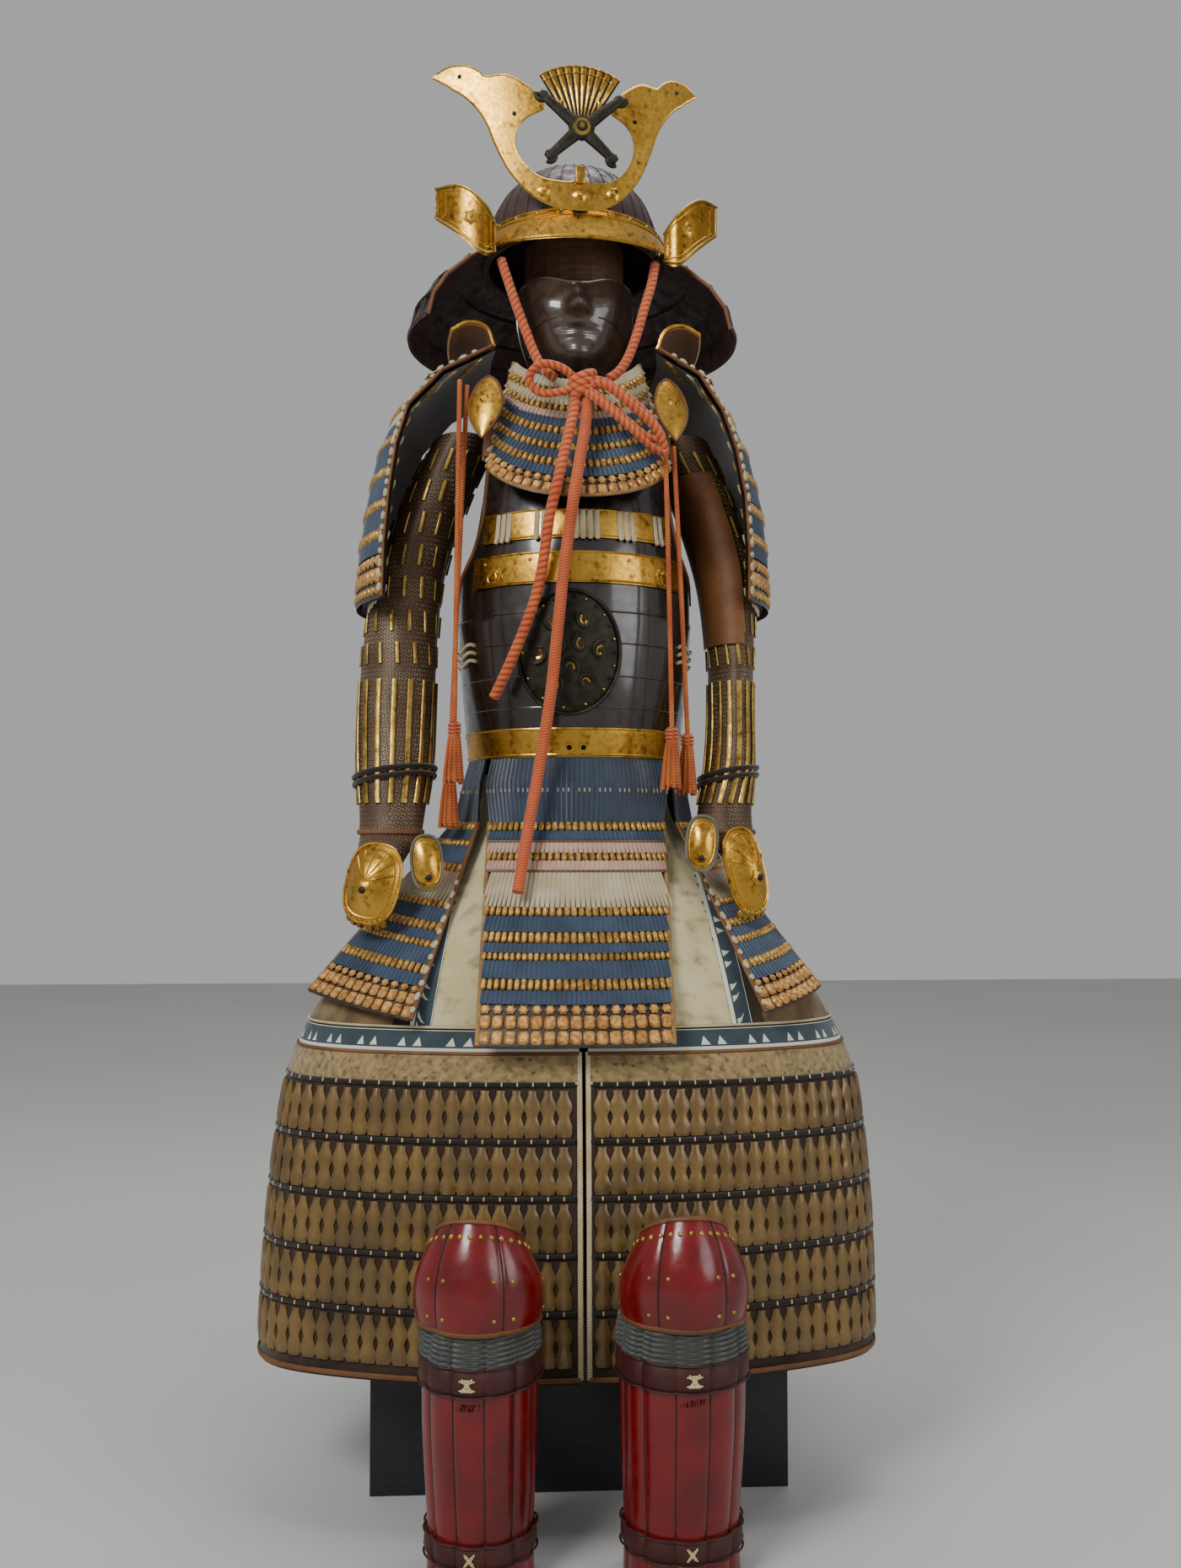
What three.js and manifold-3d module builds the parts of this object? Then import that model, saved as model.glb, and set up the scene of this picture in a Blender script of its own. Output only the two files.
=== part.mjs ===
// A samurai armour of laced lamellar, standing on its armour chest.
// Millimetres, +Z up, +X to the viewer's right, the armour faces -Y.
// The origin is the middle of the chest's underside, on the floor.
import * as THREE from 'three';
import { mergeVertices } from 'three/addons/utils/BufferGeometryUtils.js';
import Module from 'manifold-3d';

const wasm = await Module();
wasm.setup();

// ---- Driving dimensions ----
const SEAM = 0.4; // air between pieces that meet
const CLOTH = 2.4; // sewn cloth with its backing
const LAME = 3; // a lacquered lame with its lacing
const STEP = 4; // how far a lame stands over the next one up
const GILT = 1.6; // gilt copper sheet
const IRON = 2.6; // lacquered iron plate
const CHEST = { wide: 490, front: -190, back: 200, body: 466, wall: 14, lid: 34, brim: 4 };
const CHEST_TOP = CHEST.body + CHEST.lid + SEAM;
const POST = { side: 44, top: 1480, footSide: 220, footThick: 18 };
const SHOULDER = { half: 96, deep: 50, top: 1322, fall: 16, thick: 40 };
const HEAD_BLOCK = { radius: 66, low: 1462, high: 1590 };
const DO_AXIS_Y = -15; // the cuirass is round this line
const WAIST_Z = 865;
const HELM = { x: -3, y: -15, turn: 5, wide: 114, deep: 124, brim: 1518, crown: 1650 };

const FINISH = {
  lacquer: { color: '#241712', metalness: 0.1, roughness: 0.3 },
  redLacquer: { color: '#6d1014', metalness: 0.1, roughness: 0.22 },
  russet: { color: '#3a241b', metalness: 0.3, roughness: 0.42 },
  gilt: { color: '#c49a3f', metalness: 1, roughness: 0.34 },
  blackened: { color: '#2b2a26', metalness: 0.7, roughness: 0.5 },
  navyLacing: { color: '#23324d', metalness: 0, roughness: 0.85 },
  mailCloth: { color: '#4a3626', metalness: 0.2, roughness: 0.8 },
  leather: { color: '#9b7536', metalness: 0, roughness: 0.6 },
  cord: { color: '#cf6f4a', metalness: 0, roughness: 0.8 },
  chestWood: { color: '#15161b', metalness: 0, roughness: 0.4 },
  standWood: { color: '#5c4632', metalness: 0, roughness: 0.6 },
};

const armour = new THREE.Group();
const RADIANS = Math.PI / 180;
const vec = (x, y, z) => new THREE.Vector3(x, y, z);
const mix = (a, b, t) => a + (b - a) * t;

function piece(name, geometry, finish, parent = armour) {
  geometry.computeVertexNormals();
  const mesh = new THREE.Mesh(geometry, new THREE.MeshStandardMaterial(FINISH[finish]));
  mesh.name = name;
  parent.add(mesh);
  return mesh;
}

// ---- Tables of sections ----
// One row of a table of sections, worked out for any height between its first and last row.
function sectionAt(table, z) {
  const last = table.length - 1;
  let i = table.findIndex((row, k) => k < last && z <= row.z && z >= table[k + 1].z);
  if (i < 0) i = z > table[0].z ? 0 : last - 1;
  const t = (table[i].z - z) / (table[i].z - table[i + 1].z);
  const row = {};
  for (const key of Object.keys(table[i])) row[key] = mix(table[i][key], table[i + 1][key], t);
  return row;
}

// ---- Walls ----
// The grid of points that a function gives for each row and column. Rows run down, columns run to the right as
// seen from outside.
function grid(rows, columns, at) {
  const line = (count) => Array.from({ length: count }, (_, i) => i);
  return line(rows).map((r) => line(columns).map((c) => at(r / (rows - 1), c / (columns - 1), r, c)));
}

// The outward direction at each point of a grid.
function outward(points, ring) {
  const rows = points.length;
  const columns = points[0].length;
  return points.map((row, r) => row.map((_, c) => {
    const up = points[Math.max(r - 1, 0)][c];
    const down = points[Math.min(r + 1, rows - 1)][c];
    const left = ring ? points[r][(c + columns - 1) % columns] : points[r][Math.max(c - 1, 0)];
    const right = ring ? points[r][(c + 1) % columns] : points[r][Math.min(c + 1, columns - 1)];
    return down.clone().sub(up).cross(right.clone().sub(left)).normalize();
  }));
}

// A closed wall along a grid. over and under say how far its outer and inner faces stand from the grid, as a
// number or as a function of row and column. A ring's last column joins its first. A pole says that the first
// row is one point, with its outward direction.
function wall(points, { over = 0, under = -CLOTH, ring = false, pole = null, normals = null } = {}) {
  const rows = points.length;
  const columns = points[0].length;
  const away = normals ?? outward(points, ring);
  if (pole) away[0] = away[0].map(() => pole);
  const value = (amount, r, c) => (typeof amount === 'function' ? amount(r, c) : amount);
  const position = [];
  const faces = [];
  for (const amount of [over, under]) {
    points.forEach((row, r) => row.forEach((p, c) => {
      const at = p.clone().addScaledVector(away[r][c], value(amount, r, c));
      position.push(at.x, at.y, at.z);
    }));
  }
  const index = (layer, r, c) => {
    const column = pole && r === 0 ? 0 : c % columns;
    return (layer * rows + r) * columns + column;
  };
  const quad = (a, b, c, d) => {
    if (a !== b && b !== c && a !== c) faces.push(a, b, c);
    if (a !== c && c !== d && a !== d) faces.push(a, c, d);
  };
  const spans = ring ? columns : columns - 1;
  for (let r = 0; r < rows - 1; r += 1) {
    for (let c = 0; c < spans; c += 1) {
      quad(index(0, r, c), index(0, r + 1, c), index(0, r + 1, c + 1), index(0, r, c + 1));
      quad(index(1, r, c), index(1, r, c + 1), index(1, r + 1, c + 1), index(1, r + 1, c));
    }
  }
  const rim = (r0, c0, r1, c1) => quad(index(0, r1, c1), index(0, r0, c0), index(1, r0, c0), index(1, r1, c1));
  for (let c = 0; c < spans; c += 1) {
    rim(rows - 1, c, rows - 1, c + 1);
    if (!pole) rim(0, c + 1, 0, c);
  }
  if (!ring) {
    for (let r = 0; r < rows - 1; r += 1) {
      rim(r, 0, r + 1, 0);
      rim(r + 1, columns - 1, r, columns - 1);
    }
  }
  const geometry = new THREE.BufferGeometry();
  geometry.setAttribute('position', new THREE.Float32BufferAttribute(position, 3));
  geometry.setIndex(faces);
  return compact(geometry);
}

// The geometry with only the points that its faces use.
function compact(geometry) {
  const loose = geometry.toNonIndexed();
  return mergeVertices(loose, 1e-4);
}

// Row places down a laced panel: two for each lame, its top edge under the one above and its bottom edge
// standing out over the one below.
function lameRows(count, overlap = 0.12) {
  const rows = [];
  for (let i = 0; i < count; i += 1) {
    rows.push({ at: (i + (i ? overlap : 0)) / count, out: 0 }, { at: (i + 1) / count, out: STEP });
  }
  return rows;
}

// ---- Solids cut and joined ----
function solid(geometry) {
  const bare = geometry.clone();
  bare.deleteAttribute('normal');
  bare.deleteAttribute('uv');
  const merged = mergeVertices(bare, 1e-4);
  const mesh = new wasm.Mesh({
    numProp: 3,
    vertProperties: Float32Array.from(merged.attributes.position.array),
    triVerts: Uint32Array.from(merged.index.array),
  });
  return new wasm.Manifold(mesh);
}

function fromSolid(manifold) {
  const mesh = manifold.getMesh();
  const geometry = new THREE.BufferGeometry();
  geometry.setAttribute('position', new THREE.Float32BufferAttribute(mesh.vertProperties, 3));
  geometry.setIndex(Array.from(mesh.triVerts));
  return geometry;
}

function block(wide, deep, high, x, y, z) {
  return new THREE.BoxGeometry(wide, deep, high).translate(x, y, z + high / 2);
}

// A flat plate standing in the XZ plane, its outline given as a shape of x and z, its front face at y.
function plate(shape, thick, y, segments = 6) {
  const geometry = new THREE.ExtrudeGeometry(shape, {
    depth: thick, bevelEnabled: false, curveSegments: segments,
  });
  return geometry.rotateX(Math.PI / 2).translate(0, y + thick, 0);
}

function plainMesh(geometry) {
  geometry.deleteAttribute('uv');
  geometry.deleteAttribute('normal');
  return mergeVertices(geometry, 1e-4);
}

// ---- The armour chest and the stand inside the armour ----
function buildChest() {
  const deep = CHEST.back - CHEST.front;
  const middle = (CHEST.back + CHEST.front) / 2;
  const { wall: board, brim } = CHEST;
  const outer = solid(block(CHEST.wide, deep, CHEST.body, 0, middle, 0));
  const inner = solid(block(CHEST.wide - 2 * board, deep - 2 * board, CHEST.body, 0, middle, board));
  piece('chest_body', fromSolid(outer.subtract(inner)), 'chestWood');
  const lid = block(CHEST.wide + 2 * brim, deep + 2 * brim, CHEST.lid, 0, middle, CHEST.body + SEAM);
  piece('chest_lid', lid, 'chestWood');
}

function buildStand() {
  const foot = solid(block(POST.footSide, POST.footSide, POST.footThick, 0, 0, CHEST_TOP + SEAM));
  const post = solid(block(POST.side, POST.side, POST.top - CHEST_TOP - 2, 0, 0, CHEST_TOP + 2));
  const { half, top, fall, thick, deep } = SHOULDER;
  const yoke = new THREE.Shape([
    new THREE.Vector2(-half, top - fall - thick), new THREE.Vector2(half, top - fall - thick),
    new THREE.Vector2(half, top - fall), new THREE.Vector2(half / 2, top),
    new THREE.Vector2(-half / 2, top), new THREE.Vector2(-half, top - fall),
  ]);
  const bar = solid(plainMesh(plate(yoke, deep, -deep / 2)));
  const { radius, low, high } = HEAD_BLOCK;
  const profile = [
    [0, low], [radius * 0.7, low], [radius, low + 26], [radius, high - 44], [radius * 0.7, high - 12], [0, high],
  ].map(([r, z]) => new THREE.Vector2(r, z));
  const head = solid(plainMesh(new THREE.LatheGeometry(profile, 20).rotateX(Math.PI / 2).translate(0, -8, 0)));
  piece('inner_stand', fromSolid(foot.add(post).add(bar).add(head)), 'standWood');
}

// ---- The cuirass ----
// Each row: height, half width, how far the front stands, and the angle from the middle to the plate's edge.
const DO_FRONT = [
  { z: 1238, half: 141, reach: 122, span: 53 },
  { z: 1200, half: 143, reach: 134, span: 54 },
  { z: 1160, half: 146, reach: 144, span: 56 },
  { z: 1120, half: 149, reach: 150, span: 64 },
  { z: 1090, half: 151, reach: 152, span: 82 },
  { z: 1050, half: 152, reach: 152, span: 87 },
  { z: 1000, half: 149, reach: 148, span: 88 },
  { z: 945, half: 144, reach: 141, span: 88 },
  { z: 900, half: 139, reach: 133, span: 88 },
  { z: WAIST_Z, half: 136, reach: 127, span: 88 },
];
const DO_BACK = [
  { z: 1290, half: 140, reach: 112, span: 46 },
  { z: 1235, half: 146, reach: 132, span: 54 },
  { z: 1170, half: 150, reach: 143, span: 60 },
  { z: 1115, half: 151, reach: 144, span: 72 },
  { z: 1050, half: 152, reach: 140, span: 87 },
  { z: 960, half: 146, reach: 130, span: 88 },
  { z: WAIST_Z, half: 136, reach: 118, span: 88 },
];

// A point on the cuirass: height, and angle from the middle of the front, or of the back where facing is -1.
function onCuirass(table, z, angle, out = 0, facing = 1) {
  const row = sectionAt(table, z);
  const a = angle * RADIANS;
  return vec(
    facing * (row.half + out) * Math.sin(a),
    DO_AXIS_Y - facing * (row.reach + out) * Math.cos(a),
    z,
  );
}

const NECKLINE_DIP = 34; // how far the neckline sags at the middle
function buildCuirass() {
  const columns = 15;
  const front = grid(DO_FRONT.length, columns, (v, u, r) => {
    const row = DO_FRONT[r];
    const angle = mix(-row.span, row.span, u);
    const dip = r === 0 ? NECKLINE_DIP * Math.cos(Math.min(Math.abs(angle) / 44, 1) * Math.PI / 2) : 0;
    return onCuirass(DO_FRONT, row.z - dip, angle);
  });
  piece('cuirass_front', wall(front, { under: -IRON }), 'lacquer');
  const back = grid(DO_BACK.length, columns, (v, u, r) => (
    onCuirass(DO_BACK, DO_BACK[r].z, mix(-DO_BACK[r].span, DO_BACK[r].span, u), 0, -1)));
  piece('cuirass_back', wall(back, { under: -IRON }), 'lacquer');
  cuirassBand('breast_lame', DO_FRONT, 1167, 1132, 52);
  cuirassBand('ring_band', DO_FRONT, 1113, 1076, 58, 1);
  cuirassBand('waist_band_front', DO_FRONT, 899, WAIST_Z, 86);
  cuirassBand('waist_band_back', DO_BACK, 897, WAIST_Z, 86, 0, -1);
}

// A gilt band lying on the cuirass, between two heights.
function cuirassBand(name, table, top, bottom, span, lift = 0, facing = 1) {
  const clear = 1.2 + lift;
  const points = grid(2, 15, (v, u) => (
    onCuirass(table, mix(top, bottom, v), mix(-span, span, u), clear + GILT, facing)));
  piece(name, wall(points, { under: -GILT }), 'gilt');
}

const RELIEF = { x: -12, z: 990, wide: 122, high: 150, bulge: 8, rim: 0.86, clear: 1.4 };
function buildRelief() {
  const rings = 4;
  const around = 20;
  const bulgeAt = (v) => RELIEF.bulge * Math.sqrt(Math.max(0, 1 - v * v * RELIEF.rim));
  const points = grid(rings, around, (v, u, r, c) => {
    const angle = (c / around) * 2 * Math.PI;
    const x = RELIEF.x + (RELIEF.wide / 2) * v * Math.cos(angle);
    const z = RELIEF.z + (RELIEF.high / 2) * v * Math.sin(angle);
    const row = sectionAt(DO_FRONT, z);
    return onCuirass(DO_FRONT, z, Math.asin(x / row.half) / RADIANS, RELIEF.clear + bulgeAt(v));
  });
  const under = (r) => SEAM - bulgeAt(r / (rings - 1));
  piece('breast_relief', wall(points, { under, ring: true, pole: vec(0, -1, 0) }), 'blackened');
}

// ---- Shoulder straps and leaf plates ----
const STRAP = { wide: 36, thick: 6 };
function buildStraps() {
  // Down the strap from the back plate, over the stand, to the breast.
  const path = [
    { y: 76, z: 1296, x: 84 }, { y: 50, z: 1332, x: 86 }, { y: 12, z: 1347, x: 88 }, { y: -26, z: 1345, x: 91 },
    { y: -62, z: 1322, x: 95 }, { y: -88, z: 1284, x: 100 }, { y: -101, z: 1246, x: 103 },
  ];
  for (const [name, side] of [['shoulder_strap_left', -1], ['shoulder_strap_right', 1]]) {
    const points = grid(path.length, 3, (v, u, r) => {
      const across = (u - 0.5) * STRAP.wide;
      return vec(side * path[r].x + across, path[r].y, path[r].z - Math.max(0, side * across) * 0.25);
    });
    piece(name, wall(points, { under: -STRAP.thick }), 'leather');
    const leaf = new THREE.Shape();
    leaf.moveTo(0, 42);
    leaf.quadraticCurveTo(24, 30, 22, 2);
    leaf.quadraticCurveTo(16, -30, 0, -44);
    leaf.quadraticCurveTo(-16, -30, -22, 2);
    leaf.quadraticCurveTo(-24, 30, 0, 42);
    const geometry = plainMesh(plate(leaf, GILT, 0)).rotateX(-0.28).rotateZ(side * 0.35);
    piece(name.replace('shoulder_strap', 'leaf_plate'), geometry.translate(side * 116, -136, 1298), 'gilt');
  }
}

// ---- The helmet ----
const helmet = new THREE.Group();
helmet.position.set(HELM.x, HELM.y, 0);
helmet.rotation.z = HELM.turn * RADIANS;
armour.add(helmet);

// A point round the helmet's own axis, at an angle from its front.
function roundHelm(angle, wide, deep, z) {
  const a = angle * RADIANS;
  return vec(wide * Math.sin(a), -deep * Math.cos(a), z);
}

function buildBowl() {
  const around = 22;
  const rings = 7;
  const points = grid(rings, around, (v, u, r, c) => {
    const lift = Math.cos(v * Math.PI / 2) ** 0.8;
    const open = Math.sin(v * Math.PI / 2);
    const z = mix(HELM.brim, HELM.crown, lift);
    return roundHelm((c / around) * 360, HELM.wide * open, HELM.deep * open, z);
  });
  piece('helmet_bowl', wall(points, { under: -IRON, ring: true, pole: vec(0, 0, 1) }), 'russet', helmet);
  const PEAK = { span: 66, top: 1549, low: 1506, rise: 13, clear: 3, flare: 15 };
  const peak = grid(3, 15, (v, u) => {
    const angle = mix(-PEAK.span, PEAK.span, u);
    const out = PEAK.clear + GILT + PEAK.flare * v;
    const low = PEAK.low + PEAK.rise * (angle / PEAK.span) ** 2;
    return roundHelm(angle, HELM.wide + out, HELM.deep + out, mix(PEAK.top, low, v));
  });
  piece('helmet_peak', wall(peak, { under: -GILT }), 'gilt', helmet);
}

// The neck guard's sections, from the bowl's edge down: how far it stands from the helmet's axis.
const NECK_GUARD = [
  { z: 1524, wide: 120, deep: 130 },
  { z: 1502, wide: 156, deep: 162 },
  { z: 1474, wide: 188, deep: 190 },
  { z: 1446, wide: 207, deep: 206 },
  { z: 1418, wide: 214, deep: 212 },
];
const NECK_GUARD_FRONT = 64; // degrees from the front to the guard's front edge
function buildNeckGuard() {
  const count = NECK_GUARD.length - 1;
  const columns = 21;
  const rows = [];
  for (let i = 0; i < count; i += 1) {
    const top = sectionAt(NECK_GUARD, NECK_GUARD[i].z - (i ? 3 : 0));
    rows.push({ ...top, out: 0 }, { ...NECK_GUARD[i + 1], out: STEP });
  }
  const at = (row, u, out) => {
    const angle = mix(360 - NECK_GUARD_FRONT, NECK_GUARD_FRONT, u);
    return roundHelm(angle, row.wide + out, row.deep + out, row.z);
  };
  const flipped = grid(rows.length, columns, (v, u, r) => at(rows[r], 1 - u, rows[r].out));
  const normals = flipped.map((row) => row.map((p) => vec(p.x, p.y, 60).normalize()));
  piece('neck_guard', wall(flipped, { under: (r) => -LAME - rows[r].out, normals }), 'russet', helmet);
}

// The neck guard's top lame turned back at each side of the face.
function buildTurnbacks() {
  // Across the turned plate, from the bowl outwards: its top edge and its bottom edge.
  const across = [
    { x: 112, y: -78, low: 1508, top: 1540 },
    { x: 126, y: -92, low: 1500, top: 1568 },
    { x: 152, y: -84, low: 1528, top: 1588 },
    { x: 182, y: -58, low: 1560, top: 1592 },
  ];
  for (const [name, side] of [['turnback_left', -1], ['turnback_right', 1]]) {
    const points = grid(4, across.length, (v, u, r, c) => {
      const edge = across[side > 0 ? c : across.length - 1 - c];
      return vec(side * edge.x, edge.y, mix(edge.top, edge.low, v));
    });
    piece(name, wall(points, { under: -GILT - 1 }), 'gilt', helmet);
  }
}

// ---- The helmet's crest ----
// The crest stands at x and y on the helmet; left and right say how far each horn reaches.
const CREST = { x: -8, y: -137, thick: 2.4, base: 1543, sweep: 300, facet: 30, left: 1.07, right: 0.93 };
// Bends a standing plate back round a vertical line, so that its ends sweep back.
function swept(geometry) {
  const position = geometry.attributes.position;
  for (let i = 0; i < position.count; i += 1) {
    const x = position.getX(i);
    position.setY(i, position.getY(i) + x * x / (2 * CREST.sweep));
  }
  return geometry;
}

function buildCrest() {
  const half = [
    ['line', 30, 1546], ['curve', 70, 1556, 77, 1584], ['curve', 92, 1612, 105, 1648],
    ['curve', 122, 1684, 170, 1722], ['curve', 150, 1736, 130, 1728], ['curve', 118, 1722, 108, 1713],
    ['curve', 84, 1724, 64, 1700], ['curve', 50, 1688, 43, 1670], ['curve', 76, 1664, 76, 1628],
    ['curve', 76, 1592, 46, 1582], ['curve', 24, 1575, 7, 1578], ['line', 5, 1592],
  ];
  const shape = new THREE.Shape();
  shape.moveTo(0, CREST.base);
  let from = [0, CREST.base];
  const steps = [];
  for (const [kind, ...n] of half) {
    steps.push({ kind, from, control: n.slice(0, 2), to: n.slice(-2) });
    from = n.slice(-2);
  }
  for (const s of steps) {
    if (s.kind === 'line') shape.lineTo(...s.to);
    else shape.quadraticCurveTo(...s.control, ...s.to);
  }
  shape.lineTo(-from[0], from[1]);
  for (const s of steps.reverse()) {
    if (s.kind === 'line') shape.lineTo(-s.from[0], s.from[1]);
    else shape.quadraticCurveTo(-s.control[0], s.control[1], -s.from[0], s.from[1]);
  }
  const sheet = solid(plainMesh(plate(shape, CREST.thick, CREST.y, 5))).refineToLength(CREST.facet);
  const horns = swept(fromSolid(sheet));
  const position = horns.attributes.position;
  for (let i = 0; i < position.count; i += 1) {
    const x = position.getX(i);
    position.setX(i, CREST.x + x * (x < 0 ? CREST.left : CREST.right));
  }
  piece('crest_horns', horns, 'gilt', helmet);
  const socket = block(16, 10, 34, CREST.x, CREST.y + CREST.thick + 1 + 5, 1556);
  piece('crest_socket', socket, 'blackened', helmet);

  const FAN = { hub: 1632, inner: 26, outer: 94, half: 32, folds: 10 };
  const fan = new THREE.Shape();
  const from90 = (90 - FAN.half) * RADIANS;
  const to90 = (90 + FAN.half) * RADIANS;
  fan.absarc(0, FAN.hub, FAN.outer, from90, to90, false);
  fan.absarc(0, FAN.hub, FAN.inner, to90, from90, true);
  piece('crest_fan', plainMesh(plate(fan, 2, CREST.y + 4, FAN.folds)).translate(CREST.x, 0, 0), 'gilt', helmet);

  // A cross of four scrolled arms with a faceted boss, standing in the horns' opening. The arms' length and width.
  const BRACE = { z: 1640, clear: 8, thick: 5, upper: [66, 15], lower: [58, 13] };
  const arm = (turn, long, wide) => {
    const scroll = new THREE.Shape();
    scroll.moveTo(0, -wide / 2);
    scroll.quadraticCurveTo(long * 0.6, -wide, long, -wide * 0.2);
    scroll.quadraticCurveTo(long * 1.04, wide * 0.6, long * 0.86, wide * 0.8);
    scroll.quadraticCurveTo(long * 0.5, wide * 0.3, 0, wide / 2);
    return solid(plainMesh(plate(scroll, BRACE.thick, 0, 4)).rotateY(-turn * RADIANS));
  };
  const boss = new THREE.CylinderGeometry(11, 17, 12, 8);
  const { upper, lower } = BRACE;
  const arms = [arm(38, ...upper), arm(142, ...upper), arm(-44, ...lower), arm(-136, ...lower)];
  const brace = arms.reduce((sum, next) => sum.add(next), solid(plainMesh(boss)));
  const placed = fromSolid(brace).translate(CREST.x, CREST.y - BRACE.clear, BRACE.z);
  piece('crest_brace', placed, 'blackened', helmet);
}

// ---- The face mask and the throat guard ----
// A calm generic half mask: a ring of sections with a nose, cheeks, mouth and chin added as soft swellings.
const MASK = { y: -22, top: 1472, bottom: 1352 };
const MASK_ROWS = [
  { z: 1472, half: 74, reach: 86 },
  { z: 1456, half: 76, reach: 94 },
  { z: 1440, half: 76, reach: 98 },
  { z: 1422, half: 73, reach: 98 },
  { z: 1404, half: 68, reach: 96 },
  { z: 1388, half: 62, reach: 93 },
  { z: 1374, half: 54, reach: 88 },
  { z: 1362, half: 44, reach: 76 },
  { z: 1352, half: 32, reach: 60 },
];
const FEATURES = [
  { x: 0, z: 1454, wide: 9, high: 16, out: 14 },
  { x: 0, z: 1434, wide: 13, high: 9, out: 20 },
  { x: 42, z: 1440, wide: 18, high: 16, out: 6 },
  { x: -42, z: 1440, wide: 18, high: 16, out: 6 },
  { x: 0, z: 1411, wide: 22, high: 4, out: -5 },
  { x: 0, z: 1402, wide: 18, high: 5, out: 4 },
  { x: 0, z: 1378, wide: 24, high: 15, out: 12 },
];
function buildMask() {
  const points = grid(13, 15, (v, u) => {
    const z = mix(MASK.top, MASK.bottom, v);
    const row = sectionAt(MASK_ROWS, z);
    const a = mix(-86, 86, u) * RADIANS;
    const x = row.half * Math.sin(a);
    const rise = v < 0.01 ? -14 * Math.exp(-((x / 34) ** 2)) + 10 : 0;
    const swell = FEATURES.reduce((sum, f) => (
      sum + f.out * Math.exp(-(((x - f.x) / f.wide) ** 2) - (((z - f.z) / f.high) ** 2))), 0);
    return vec(x, MASK.y - row.reach * Math.cos(a) - swell, z + rise);
  });
  piece('face_mask', wall(points, { under: -3 }), 'russet');
}

// The throat guard hangs under the chin in laced lames, its hem curving up to the sides.
const THROAT = { span: 68, top: 1338, topRise: 34, low: 1176, lowRise: 46, lames: 5 };
function buildThroatGuard() {
  const rows = lameRows(THROAT.lames);
  const points = grid(rows.length, 13, (v, u, r) => {
    const t = rows[r].at;
    const angle = mix(-THROAT.span, THROAT.span, u);
    const a = angle * RADIANS;
    const side = (angle / THROAT.span) ** 2;
    const z = mix(THROAT.top + THROAT.topRise * side, THROAT.low + THROAT.lowRise * side, t);
    return vec(mix(86, 121, t) * Math.sin(a), mix(-58, -100, t) - mix(60, 84, t) * Math.cos(a), z);
  });
  const normals = points.map((row) => row.map((p) => vec(p.x, p.y, 40).normalize()));
  piece('throat_guard', wall(points, { over: (r) => rows[r].out, under: -LAME, normals }), 'navyLacing');
}

// ---- Shoulder guards ----
// Down the guard: how far each side's stands out, its half length front to back, and how its edges bend in.
const SODE = [
  { z: 1384, left: 114, right: 110, half: 100, bend: 8 },
  { z: 1350, left: 186, right: 170, half: 106, bend: 16 },
  { z: 1304, left: 236, right: 206, half: 112, bend: 24 },
  { z: 1254, left: 257, right: 229, half: 116, bend: 30 },
  { z: 1196, left: 269, right: 244, half: 118, bend: 34 },
  { z: 1130, left: 279, right: 252, half: 120, bend: 38 },
  { z: 1062, left: 283, right: 254, half: 120, bend: 40 },
];
// The crown plate above the first lame, curling over outwards: its sections as steps from the lame's top edge.
const SODE_CROWN = [{ out: 52, up: 20 }, { out: 32, up: 30 }, { out: 10, up: 24 }];
const SODE_LAMES = 6;
const SODE_Y = -8;
function sodeAt(t) {
  const i = Math.min(Math.floor(t * (SODE.length - 1)), SODE.length - 2);
  const k = t * (SODE.length - 1) - i;
  const row = {};
  for (const key of Object.keys(SODE[0])) row[key] = mix(SODE[i][key], SODE[i + 1][key], k);
  return row;
}

function buildShoulderGuards() {
  const crown = SODE_CROWN.map((c) => ({ at: 0, out: 0, crown: c }));
  const rows = [...crown, ...lameRows(SODE_LAMES)];
  for (const [name, side, key] of [['shoulder_guard_left', -1, 'left'], ['shoulder_guard_right', 1, 'right']]) {
    const points = grid(rows.length, 7, (v, u, r) => {
      const row = sodeAt(rows[r].at);
      const { out, up } = rows[r].crown ?? { out: 0, up: 0 };
      const across = (2 * u - 1) * side;
      return vec(side * (row[key] + out - row.bend * across ** 2), SODE_Y + row.half * across, row.z + up);
    });
    piece(name, wall(points, { over: (r) => rows[r].out, under: -LAME }), 'navyLacing');
  }
}

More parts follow.
